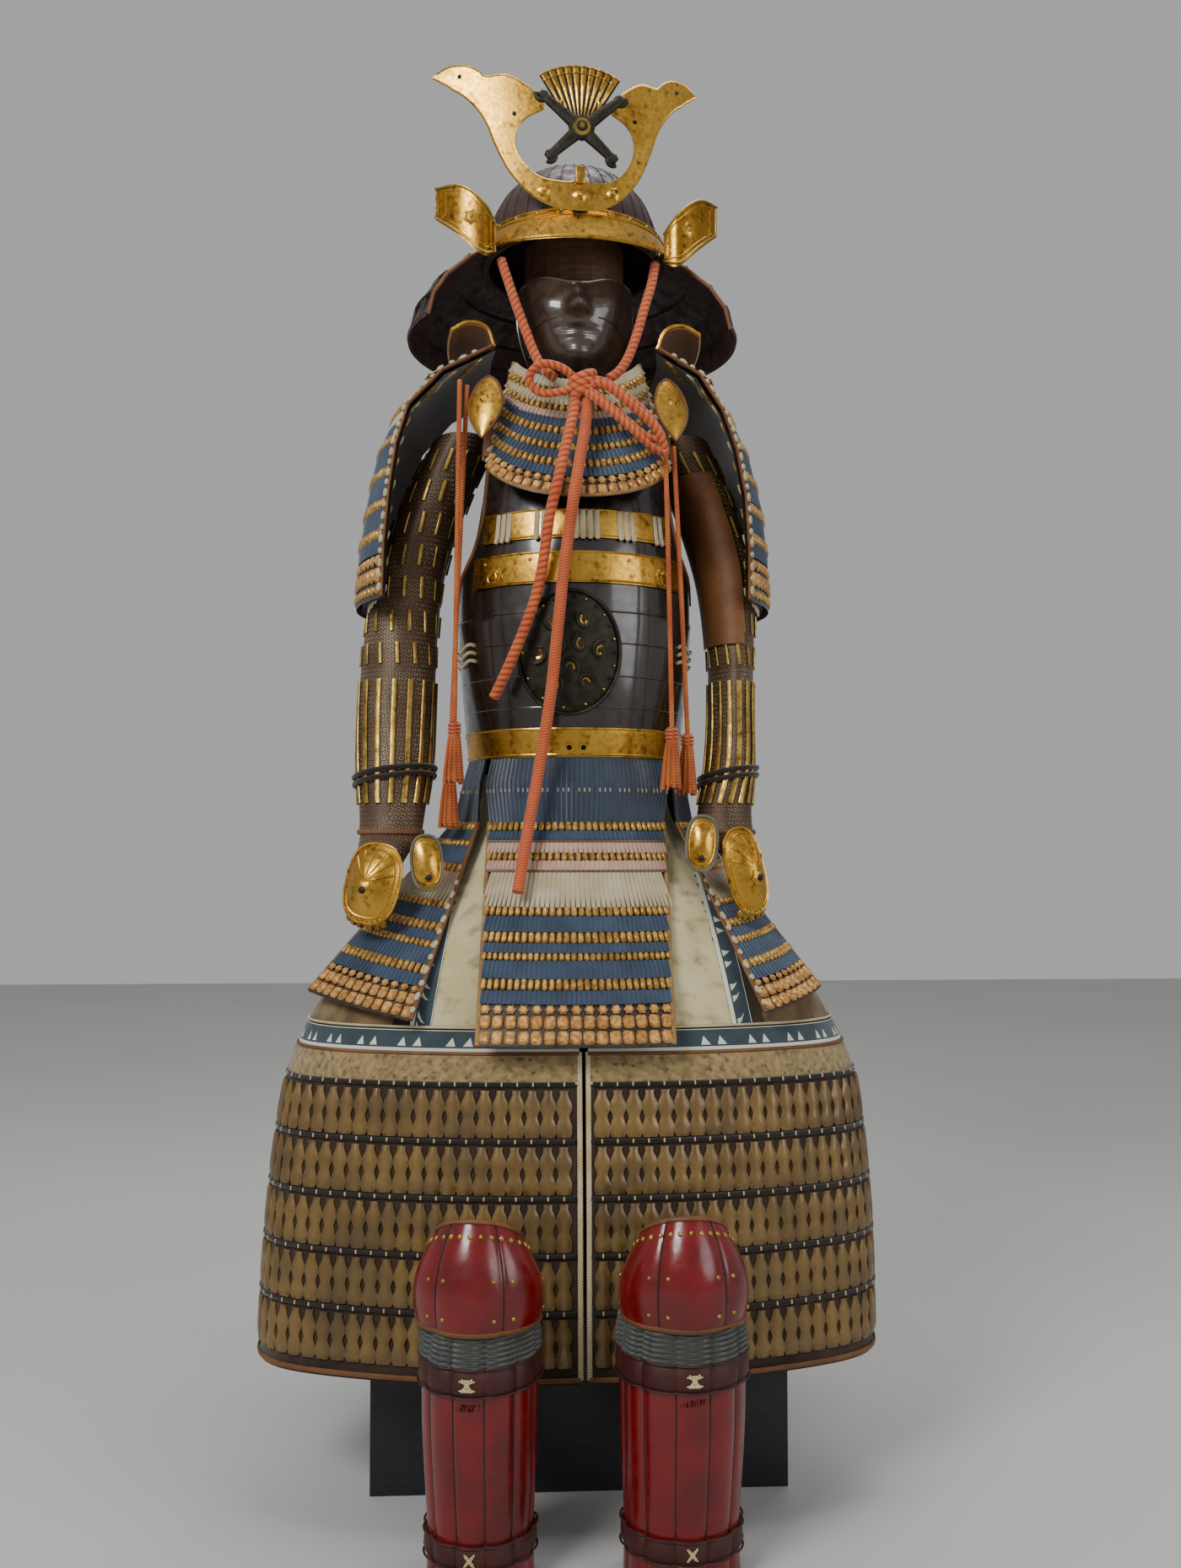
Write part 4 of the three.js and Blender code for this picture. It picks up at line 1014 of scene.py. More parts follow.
@dataclass
class LacedPanel:
    """Lacquered lames hung from each other by silk, on any surface."""

    node: str
    patch: Patch
    rows: Sequence[LaceRow]
    lame: float = 2.4
    step: float = 3.0
    finishes: list[Finish] = field(default_factory=lambda: [Dress.LAME_LACQUER])

    def number(self, finish: Finish) -> int:
        """Returns a finish's material number on the panel, new ones last."""
        if finish not in self.finishes:
            self.finishes.append(finish)
        return self.finishes.index(finish)

    def cuts(self) -> list[float]:
        """Returns the shares down where the rows meet."""
        total = sum(row.high for row in self.rows)
        found = [0.0]
        for row in self.rows:
            found.append(found[-1] + row.high / total)
        return found

    def cover(self, bm: BMesh, row: LaceRow, top: float, foot: float) -> None:
        """Covers one row with its pieces.

        Args:
            bm: the shape that they are added to.
            row: what covers it.
            top: the share down where it starts.
            foot: the share down where it ends.
        """
        middle = (top + foot) / 2
        material = self.number(row.finish)
        high = self.patch.height(top, foot)
        if row.weave is Weave.TWIST:
            draw(bm, self.patch.across(middle, row.out + 2, 40), 3.4, material)
            return
        count = max(1, round(self.patch.width(middle) / row.pitch))
        for i in range(count):
            u = (i + 0.5) / count
            pitch = self.patch.width(middle, i / count, (i + 1) / count)
            place = self.patch.frame(u, middle, row.out + self.step * 0.6)
            shapes = {Weave.SILK: ("strand", pitch * 1.02, high * 1.04),
                      Weave.HEADS: ("head", pitch * 0.84, high * 0.96),
                      Weave.PLATES: ("plate", pitch * 0.9, high * 0.9),
                      Weave.ROSETTES: ("rosette", min(pitch, high) * 0.52),
                      Weave.STUDS: ("stud", min(pitch, high) * 0.46, 3.0)}
            STOCK.stamp(bm, place, material, *shapes[row.weave])

    def shape(self) -> BMesh:
        """Makes the lames and all that covers them."""
        cuts = self.cuts()
        lames = [cuts[i] for i, row in enumerate(self.rows) if i == 0 or row.weave is Weave.HEADS] + [1.0]
        columns = max(6, round(self.patch.width(0.5) / 14))
        bm = thicken(self.patch.lay(columns, stepped_rows(lames, self.step)), self.lame)
        for row, top, foot in zip(self.rows, cuts, cuts[1:]):
            self.cover(bm, row, top, foot)
        return bm

    def bind(self, bm: BMesh, u: float, wide: float, finish: Finish) -> None:
        """Binds an upright edge of the panel.

        Args:
            bm: the shape that the binding is added to.
            u: the edge, 0 or 1.
            wide: the binding's width.
            finish: its finish.
        """
        bar = strip(self.patch, u, 0.0, 1.0, wide, 5.0, self.step * 0.5, steps=30)
        join(bm, bar, self.number(finish))

    def knots(self, bm: BMesh, u: float, count: int, top: float) -> None:
        """Sets cream cord knots along an upright edge, from a share down the panel to its foot."""
        for i in range(count):
            place = self.patch.frame(u, mix(top, 0.99, (i + 0.5) / count), self.step + 1.5)
            STOCK.stamp(bm, place, self.number(CREAM), "bead", 7.0, mix(9.0, 13.0, i % 2))

    def finish_piece(self, bm: BMesh) -> None:
        """Turns the panel's shape to its piece."""
        add_piece(self.node + "_laced", bm, self.finishes, [self.node])


@dataclass(frozen=True)
class SkirtPanel:
    """One panel of the skirt: where it hangs on the waist, its bottom corners and how it is worn."""

    name: str
    start: float
    end: float
    left: tuple[float, float, float]
    right: tuple[float, float, float]
    bulge: float


@dataclass
class Skirt:
    """The skirt of seven panels, hung from the waist by a curtain of open navy lacing."""

    top: float = 862.0
    curtain: float = 782.0
    axis: float = -15.0
    half: float = 136.0
    front: float = 127.0
    back: float = 118.0
    panels: tuple[SkirtPanel, ...] = (
        SkirtPanel("skirt_front", -52, 52, (-120, -288, 531), (100, -288, 531), 6),
        SkirtPanel("skirt_front_right", 57, 92, (211, -250, 562), (290, -168, 583), 8),
        SkirtPanel("skirt_side_right", 97, 136, (208, -26, 604), (180, 106, 604), 8),
        SkirtPanel("skirt_back_right", 141, 177, (150, 150, 604), (8, 192, 604), 8),
        SkirtPanel("skirt_back_left", 183, 219, (-8, 192, 604), (-150, 150, 604), 8),
        SkirtPanel("skirt_side_left", 224, 263, (-180, 106, 604), (-208, -26, 604), 8),
        SkirtPanel("skirt_front_left", 268, 303, (-322, -163, 581), (-196, -252, 556), 8),
    )

    def on_waist(self, angle: float, z: float, out: float) -> Vector:
        """Returns the point at an angle round the waist, moved out from it."""
        a = math.radians(angle)
        reach = (self.front if math.cos(a) > 0 else self.back) + out
        return Vector(((self.half + out) * math.sin(a), self.axis - reach * math.cos(a), z))

    def patch(self, panel: SkirtPanel, curtain: bool) -> Patch:
        """Makes a panel's surface.

        Args:
            panel: the panel.
            curtain: the open lacing above it, or the lames.

        Returns:
            The surface.
        """
        low, high = Vector(panel.left), Vector(panel.right)
        middle = (low + high) / 2
        facing = Vector((middle.x, middle.y - self.axis, 0)).normalized()

        def foot(u: float) -> Vector:
            return low.lerp(high, u) + facing * (panel.bulge * 4 * u * (1 - u))

        def knee(u: float) -> Vector:
            found = self.on_waist(mix(panel.start, panel.end, u), self.curtain, 0).lerp(foot(u), 0.11)
            found.z = self.curtain
            return found

        def at(u: float, v: float) -> Vector:
            if not curtain:
                return knee(u).lerp(foot(u), v)
            angle = mix(panel.start, panel.end, u)
            top = self.on_waist(angle, self.top, 0)
            bend = self.on_waist(angle, (self.top + self.curtain) / 2 + 8, 9)
            return top.lerp(bend, v / 0.4) if v < 0.4 else bend.lerp(knee(u), (v - 0.4) / 0.6)

        return Patch(at)

    def rows(self, panel: SkirtPanel) -> list[LaceRow]:
        """Returns a panel's rows from the top down."""
        if panel.name == "skirt_front":
            return [heads(), silk(11), twist(), silk(12, PINK), heads(10), silk(11, PINK), twist(),
                    silk(40, CREAM), heads(), silk(18), heads(13), silk(11), heads(9, 7.0), silk(20),
                    heads(13), silk(15), rosettes(), plates(), plates()]
        return [heads(), silk(14), heads(9), silk(24), heads(), silk(12, PINK), silk(26, CREAM), heads(10),
                silk(18), heads(), silk(12), heads(9, 7.0), silk(20), heads(12), silk(14), rosettes(9, 13.0),
                plates(15, 13.0), plates(15, 13.0)]

    def add_curtain(self, bm: BMesh, made: LacedPanel, panel: SkirtPanel) -> None:
        """Hangs the open lacing, with its row of pale stitches, above the lames."""
        hanging = self.patch(panel, True)
        navy, pale = made.number(NAVY), made.number(CREAM)
        join(bm, thicken(hanging.lay(10, even_rows(6, -1.2)), 1.2), made.number(Dress.BROWN_CLOTH))
        count = round(hanging.width(0.6) / 6.2)
        for i in range(count):
            u = (i + 0.5) / count
            wide = hanging.width(0.5, i / count, (i + 1) / count)
            join(bm, strip(hanging, u, 0.0, 1.0, wide, 2.2, 1.2, steps=8, around=6), navy)
            if i % 4 != 3:
                STOCK.stamp(bm, hanging.frame(u, 0.5, 2.6), pale, "bead", 2.0, 6.5)

    def build(self) -> None:
        """Makes the seven panels."""
        for panel in self.panels:
            made = LacedPanel(panel.name, self.patch(panel, False), self.rows(panel))
            bm = made.shape()
            self.add_curtain(bm, made, panel)
            front = panel.name == "skirt_front"
            for u in (0.0, 1.0):
                made.bind(bm, u, 6.0 if front else 7.0, Dress.TAN_LEATHER if front else Dress.SMOKED_LEATHER)
            if not front:
                made.knots(bm, 1.0 if panel.name.endswith("left") else 0.0, 11, 0.3)
            made.finish_piece(bm)


@dataclass
class ThroatGuard:
    """The guard that hangs under the chin, its hem curving up to the sides."""

    span: float = 68.0
    top: float = 1338.0
    top_rise: float = 34.0
    low: float = 1176.0
    low_rise: float = 46.0

    def at(self, u: float, v: float) -> Vector:
        """Returns the guard's point at a share across and down."""
        angle = mix(-self.span, self.span, u)
        a = math.radians(angle)
        side = (angle / self.span) ** 2
        z = mix(self.top + self.top_rise * side, self.low + self.low_rise * side, v)
        return Vector((mix(86, 121, v) * math.sin(a), mix(-58, -100, v) - mix(60, 84, v) * math.cos(a), z))

    def build(self) -> None:
        """Makes the guard."""
        rows = [silk(12, CREAM), heads(10), silk(12, CREAM), heads(9), silk(9, PINK), silk(11), heads(10),
                silk(11), heads(9), silk(11), heads(10), silk(11), rosettes(10, 13.0), plates(13, 13.0)]
        made = LacedPanel("throat_guard", Patch(self.at), rows)
        bm = made.shape()
        for u in (0.0, 1.0):
            made.bind(bm, u, 6.0, Dress.TAN_LEATHER)
            made.knots(bm, u, 7, 0.25)
        draw(bm, made.patch.across(0.995, 1.5, 40), 5.0, made.number(Dress.TAN_LEATHER), 8)
        made.finish_piece(bm)


@dataclass
class ShoulderGuard:
    """A large guard that hangs off the shoulder: a curled leather crown plate over six laced lames."""

    side: int
    name: str
    mid_y: float = -8.0
    left: tuple[float, ...] = (114, 186, 236, 257, 269, 279, 283)
    right: tuple[float, ...] = (110, 170, 206, 229, 244, 252, 254)
    heights: tuple[float, ...] = (1384, 1350, 1304, 1254, 1196, 1130, 1062)
    halves: tuple[float, ...] = (100, 106, 112, 116, 118, 120, 120)
    bends: tuple[float, ...] = (8, 16, 24, 30, 34, 38, 40)
    crown: Sections = field(default_factory=lambda: Sections(
        "share out up", (3, 0, 0), (2, 10, 24), (1, 32, 30), (0, 52, 20)))

    def section(self, v: float) -> tuple[float, float, float, float]:
        """Returns how far out, how high, how long and how bent the guard is at a share down it."""
        reach = self.left if self.side < 0 else self.right
        last = len(reach) - 1
        i = min(max(int(v * last), 0), last - 1)
        k = v * last - i
        return tuple(mix(row[i], row[i + 1], k) for row in (reach, self.heights, self.halves, self.bends))

    def at(self, u: float, v: float) -> Vector:
        """Returns the guard's point at a share across and down its lames."""
        reach, z, half, bend = self.section(v)
        across = (2 * u - 1) * self.side
        return Vector((self.side * (reach - bend * across ** 2), self.mid_y + half * across, z))

    def on_crown(self, u: float, v: float) -> Vector:
        """Returns the crown plate's point at a share across and down."""
        reach, z, half, bend = self.section(0)
        row = self.crown.at(v * 3)
        out, up = row["out"], row["up"]
        across = (2 * u - 1) * self.side
        return Vector((self.side * (reach + out - bend * across ** 2), self.mid_y + half * across, z + up))

    def build(self) -> None:
        """Makes the guard."""
        gold = LaceRow(Weave.HEADS, 10, Dress.ORANGE_GOLD, 8.5, 1.2)
        rows = [silk(22, CREAM, 9.0), gold, silk(26, CREAM, 9.0), heads(11), silk(24, PINK, 8.0), heads(10),
                silk(12, CREAM), silk(16), heads(10), silk(24), heads(10), silk(22), heads(10), silk(18),
                heads(10), silk(12), rosettes(12, 14.0), plates(14, 14.0),
                LaceRow(Weave.STUDS, 12, Dress.GOLD_LACQUER, 12.0, 1.4)]
        made = LacedPanel(self.name, Patch(self.at), rows)
        bm = made.shape()
        crown = Patch(self.on_crown)
        join(bm, thicken(crown.lay(24, even_rows(12)), 3.0), made.number(Dress.SMOKED_LEATHER))
        for line in (crown.across(0.0, -1.0, 40), crown.down(0.0, -1.0, 12), crown.down(1.0, -1.0, 12)):
            draw(bm, line, 5.0, made.number(Dress.GILT), 8)
        for u in (0.0, 1.0):
            made.bind(bm, u, 7.0, Dress.SMOKED_LEATHER)
        front = 1.0 if self.side < 0 else 0.0
        made.knots(bm, front, 26, 0.04)
        inside = Patch(lambda u, v: self.at(1 - u, v))
        join(bm, thicken(inside.lay(20, even_rows(24, 5.0)), 1.2), made.number(Dress.BROWN_CLOTH))
        for k in range(12):
            v, edge = (k + 0.7) / 12, 1 - front
            for step in range(5):
                place = inside.frame(abs(edge - 0.02 - 0.05 * step), v + 0.01 * step, 7.4, 0.5 - edge)
                STOCK.stamp(bm, place, made.number(CREAM if k % 2 else Dress.GOLD_LACQUER), "bead", 5.0, 15.0)
        made.finish_piece(bm)


# ---------------------------------------------------------------- the cuirass
@dataclass
class Cuirass:
    """The hinged cuirass: a lacquered body of wide lames, gilt bands and a round relief on its breast."""

    axis: float = -15.0
    front: Sections = field(default_factory=lambda: Sections(
        "z half reach span", (1238, 141, 122, 53), (1200, 143, 134, 54), (1160, 146, 144, 56),
        (1120, 149, 150, 64), (1090, 151, 152, 82), (1050, 152, 152, 87), (1000, 149, 148, 88),
        (945, 144, 141, 88), (900, 139, 133, 88), (865, 136, 127, 88)))
    back: Sections = field(default_factory=lambda: Sections(
        "z half reach span", (1290, 140, 112, 46), (1235, 146, 132, 54), (1170, 150, 143, 60),
        (1115, 151, 144, 72), (1050, 152, 140, 87), (960, 146, 130, 88), (865, 136, 118, 88)))
    wall: float = 2.4
    dip: float = 34.0

    def on(self, z: float, angle: float, out: float = 0.0, facing: int = 1) -> Vector:
        """Returns a point on the cuirass.

        Args:
            z: its height.
            angle: its angle from the middle of the front, or of the back.
            out: how far it stands off.
            facing: 1 for the front and -1 for the back.

        Returns:
            The point.
        """
        row = (self.front if facing > 0 else self.back).at(z)
        a = math.radians(angle)
        return Vector((facing * (row["half"] + out) * math.sin(a),
                       self.axis - facing * (row["reach"] + out) * math.cos(a), z))

    def shell(self, facing: int) -> Patch:
        """Returns the front or back plate's surface."""
        table = self.front if facing > 0 else self.back
        top, foot = table.rows[0][0], table.rows[-1][0]

        def at(u: float, v: float) -> Vector:
            z = mix(top, foot, v)
            span = table.at(z)["span"]
            angle = mix(-span, span, u)
            fade = max(0.0, 1 - v * 6) * (self.dip if facing > 0 else 16.0)
            sag = fade * math.cos(min(abs(angle) / 44, 1) * math.pi / 2)
            return self.on(z - sag, angle, 0.0, facing)

        return Patch(at)

    def band(self, top: float, foot: float, span: float, out: float, facing: int = 1) -> Patch:
        """Returns the surface of a band that lies on the cuirass."""
        return Patch(lambda u, v: self.on(mix(top, foot, v), mix(-span, span, u), out, facing))

    def build_plates(self) -> None:
        """Makes the front and back plates, each of wide lames with a thin line where they overlap."""
        for facing, name in ((1, "cuirass_front"), (-1, "cuirass_back")):
            patch = self.shell(facing)
            table = self.front if facing > 0 else self.back
            top, foot = table.rows[0][0], table.rows[-1][0]
            seams = [(top - z) / (top - foot) for z in (1040, 1002, 962, 924) if z > foot]
            rows = [(v, 1.3 if any(s <= v for s in seams) else 0.0) for v, _ in even_rows(60)]
            bm = thicken(patch.lay(48, rows), self.wall)
            for share in seams:
                draw(bm, patch.across(share, 1.0, 48), 2.6)
            draw(bm, patch.across(0.002, -1.0, 48), 7.0, 1, 8)
            for u in (0.0, 1.0):
                draw(bm, patch.down(u, -1.0, 16, 0.0, 0.45), 7.0, 1, 8)
            for side in (-1, 1):
                for z in (1006, 996, 986):
                    tie = [self.on(z + 3 * math.sin(i), side * mix(58, 86, i / 8), 3.0, facing)
                           for i in range(9)]
                    draw(bm, tie, 4.5, 2, 8)
            finishes = [Dress.BROWN_LACQUER, Dress.SMOKED_LEATHER, Dress.CREAM_CORD]
            add_piece(name + "_lacquered", bm, finishes, [name])

    def gilded(self, patch: Patch, columns: int, edge: float, wide: float) -> BMesh:
        """Makes a thin band with a rounded border line near its top and its foot."""
        bm = thicken(patch.lay(columns, even_rows(6)), 1.6)
        for v in (edge, 1 - edge):
            draw(bm, patch.across(v, 0.4, 48), wide)
        return bm

    def build_bands(self) -> None:
        """Makes the gilt bands, their rivets and their ring fittings."""
        breast = self.band(1167, 1132, 52, 2.8)
        bm = self.gilded(breast, 40, 0.03, 2.6)
        for middle, strands in ((0.13, 3), (0.32, 2), (0.53, 4), (0.72, 3), (0.9, 2)):
            self.lace_group(bm, breast, middle, strands)
        add_piece("breast_lame_gilt", bm, [Dress.GILT, CREAM, Dress.BROWN_LACQUER], ["breast_lame"])

        ring = self.band(1113, 1076, 58, 3.8)
        bm = self.gilded(ring, 40, 0.03, 3.0)
        for u in (0.14, 0.86):
            self.fitting(bm, ring.frame(u, 0.62, 0.6))
        for u in (0.08, 0.3, 0.5, 0.7, 0.92):
            STOCK.stamp(bm, ring.frame(u, 0.25, 0.3), 0, "stud", 2.5, 1.8)
        add_piece("ring_band_gilt", bm, [Dress.GILT, Dress.BLACKENED], ["ring_band"])

        for facing, name, top in ((1, "waist_band_front", 899), (-1, "waist_band_back", 897)):
            waist = self.band(top, 865, 86, 2.8, facing)
            bm = self.gilded(waist, 48, 0.04, 3.0)
            if facing > 0:
                for u in (0.472, 0.512):
                    self.eyelet(bm, waist.frame(u, 0.7, 0.4))
            add_piece(name + "_gilt", bm, [Dress.GILT, Dress.BLACKENED], [name])

    def lace_group(self, bm: BMesh, patch: Patch, middle: float, strands: int) -> None:
        """Laces a band with upright cream cords that each end in a knob."""
        for k in range(strands):
            u = middle + (k - (strands - 1) / 2) * 0.032
            STOCK.stamp(bm, patch.frame(u, 0.5, 0.4), 1, "strand", 7.0, 31.0)
            STOCK.stamp(bm, patch.frame(u, 1.02, 1.6), 1, "bead", 8.0, 9.0)

    def fitting(self, bm: BMesh, place: Matrix) -> None:
        """Adds a round gilt base with a hanging ring."""
        join(bm, cone(20, 9.5, 7.5, 2.4, place))
        join(bm, cone(12, 3.2, 2.2, 6, place @ placed((0, 2, 3))))
        loop = [place @ Vector((7 * math.sin(a), 2 - 8 + 7 * math.cos(a), 5)) for a in turns(24)]
        draw(bm, loop, 2.4, closed=True)

    def eyelet(self, bm: BMesh, place: Matrix) -> None:
        """Adds a short tubular eyelet with a dark bore."""
        tube = bmesh.new()
        bmesh.ops.create_cone(tube, cap_ends=False, segments=20, radius1=5.4, radius2=5.0, depth=6)
        bmesh.ops.solidify(tube, geom=tube.faces[:], thickness=1.6)
        bmesh.ops.transform(tube, matrix=place @ placed((0, 0, 3)), verts=tube.verts)
        join(bm, tube)
        floor = bmesh.new()
        bmesh.ops.create_circle(floor, cap_ends=True, segments=20, radius=4.4)
        bmesh.ops.transform(floor, matrix=place @ placed((0, 0, 0.8)), verts=floor.verts)
        join(bm, floor, 1)

    def build_relief(self) -> None:
        """Makes the round relief: rolling waves and cloud scrolls in blackened iron with small gilt beads."""
        centre_x, centre_z, half_x, half_z = -12.0, 990.0, 61.0, 75.0

        def at(r: float, a: float, out: float) -> Vector:
            x, z = centre_x + half_x * r * math.cos(a), centre_z + half_z * r * math.sin(a)
            row = self.front.at(z)
            return self.on(z, math.degrees(math.asin(x / row["half"])), out)

        bm = bmesh.new()
        disc = Patch(lambda u, v: at(v, -2 * math.pi * u, 1.2 + 5.0 * (1 - v ** 4)))
        body = disc.lay(48, [(mix(0.02, 1.0, i / 10), 0.0) for i in range(11)])
        bmesh.ops.remove_doubles(body, verts=body.verts, dist=0.01)
        bmesh.ops.holes_fill(body, edges=[e for e in body.edges if e.is_boundary], sides=0)
        bmesh.ops.recalc_face_normals(body, faces=body.faces)
        join(bm, body)
        rim = [at(1.0, a, 3.4) for a in turns(64)]
        draw(bm, rim, 4.6, 0, 8, closed=True)
        for k in range(9):
            self.wave(bm, at, k)
        for k in range(26):
            a = k / 26 * 2 * math.pi
            place = placed(at(0.9, a, 4.2), (math.pi / 2, "X"))
            STOCK.stamp(bm, place, 1 if k % 2 else 0, "stud", 2.2, 1.8)
        add_piece("breast_relief_waves", bm, [Dress.BLACKENED, Dress.GILT], ["breast_relief"])

    def wave(self, bm: BMesh, at: Callable[[float, float, float], Vector], k: int) -> None:
        """Adds one curling wave or cloud scroll to the relief."""
        ring, spread = ((0.58, 6), (0.24, 3))[k > 5]
        start = (k % spread) / spread * 2 * math.pi + (0.5 if k > 5 else 0.0)
        for lane in range(3):
            line = []
            for i in range(22):
                t = i / 21
                curl = 4.6 * t ** 1.5
                radius = (0.2 - 0.045 * lane) * (1 - 0.72 * t)
                x = ring * math.cos(start) + radius * math.cos(start + curl + 1.2)
                z = ring * math.sin(start) + radius * math.sin(start + curl + 1.2)
                line.append(at(min(math.hypot(x, z), 0.93), math.atan2(z, x), 7.2 - 1.2 * lane))
            draw(bm, line, lambda t: 5.5 - 3 * t, 1 if lane == 2 else 0)

    def build(self) -> None:
        """Makes the whole cuirass."""
        self.build_plates()
        self.build_bands()
        self.build_relief()


@dataclass
class ShoulderStrap:
    """A padded leather strap over the shoulder, with a leaf-shaped gilt plate hung from its end."""

    side: int
    name: str
    path: Path = (
        (84, 76, 1296), (86, 50, 1332), (88, 12, 1347), (91, -26, 1345), (95, -62, 1322), (100, -88, 1284),
        (103, -101, 1246))

    def build(self) -> None:
        """Makes the strap and the leaf plate."""
        line = curve([(self.side * x, y, z - 2) for x, y, z in self.path], 5)
        facing = []
        for i in range(len(line)):
            ahead = line[min(i + 1, len(line) - 1)] - line[max(i - 1, 0)]
            facing.append(Vector((0, ahead.z, -ahead.y)).normalized())
        bm = sweep(line, 36, 6.5, facing, 12)
        for edge in (-16.0, 16.0):
            piping = [p + Vector((edge, 0, -max(0.0, edge * self.side) * 0.25)) for p in line]
            draw(bm, piping, 4.5, 1)
        add_piece(self.name, bm, [Dress.SMOKED_LEATHER, Dress.TAN_LEATHER],
                  [self.name.replace("_padded", "")])
        side = "left" if self.side < 0 else "right"
        spot = (self.side * 116, -137.5, 1298)
        self.leaf(placed(spot, (self.side * 0.35, "Z"), (math.pi / 2 - 0.28, "X")), side)

    def leaf(self, place: Matrix, side: str) -> None:
        """Makes the leaf plate: a domed gilt leaf in a rolled rim, with a flower boss and rivets."""
        outline = Sections("y half", (44, 0.5), (36, 11), (20, 19), (2, 22), (-16, 18), (-32, 9), (-44, 0.5))
        bm = bmesh.new()
        bmesh.ops.create_grid(bm, x_segments=8, y_segments=16, size=1)
        for vert in bm.verts:
            y = vert.co.y * 44
            vert.co = Vector((vert.co.x * outline.at(y)["half"], y,
                              5 * (1 - vert.co.x ** 2) * (1 - (y / 44) ** 2)))
        thicken(bm, 1.4)
        edge = [Vector((outline.at(y)["half"], y, 0)) for y in [44 - 88 * i / 20 for i in range(21)]]
        loop = edge + [Vector((-p.x, p.y, 0)) for p in reversed(edge)][1:]
        draw(bm, loop, 3.4, 1, closed=True)
        STOCK.stamp(bm, placed((0, 8, 4.6)), 0, "rosette", 7.0)
        for y in (-22.0, 30.0):
            STOCK.stamp(bm, placed((0, y, 2.4)), 0, "stud", 2.0, 1.6)
        bmesh.ops.transform(bm, matrix=place, verts=bm.verts)
        add_piece(f"leaf_plate_{side}_gilt", bm, [Dress.GILT, Dress.SMOKED_LEATHER],
                  [f"leaf_plate_{side}"])


# ---------------------------------------------------------------- the helmet and the mask
FRONT = Vector((0, -1, 0))


def ring_shell(patch: Patch, columns: int, rows: Sequence[tuple[float, float]], thick: float,
               capped: bool = False) -> BMesh:
    """Makes a shell that runs all the way round.

    Args:
        patch: a surface whose right edge meets its left edge.
        columns: how many faces round it.
        rows: its rows, as for Patch.lay.
        thick: its thickness.
        capped: whether its top ring is closed over.

    Returns:
        The shell.
    """
    bm = patch.lay(columns, rows)
    bmesh.ops.remove_doubles(bm, verts=bm.verts, dist=0.005)
    if capped:
        top = max(v.co.z for v in bm.verts)
        rim = [e for e in bm.edges if e.is_boundary and e.verts[0].co.z > top - 6]
        bmesh.ops.holes_fill(bm, edges=rim, sides=0)
    return thicken(bm, thick)


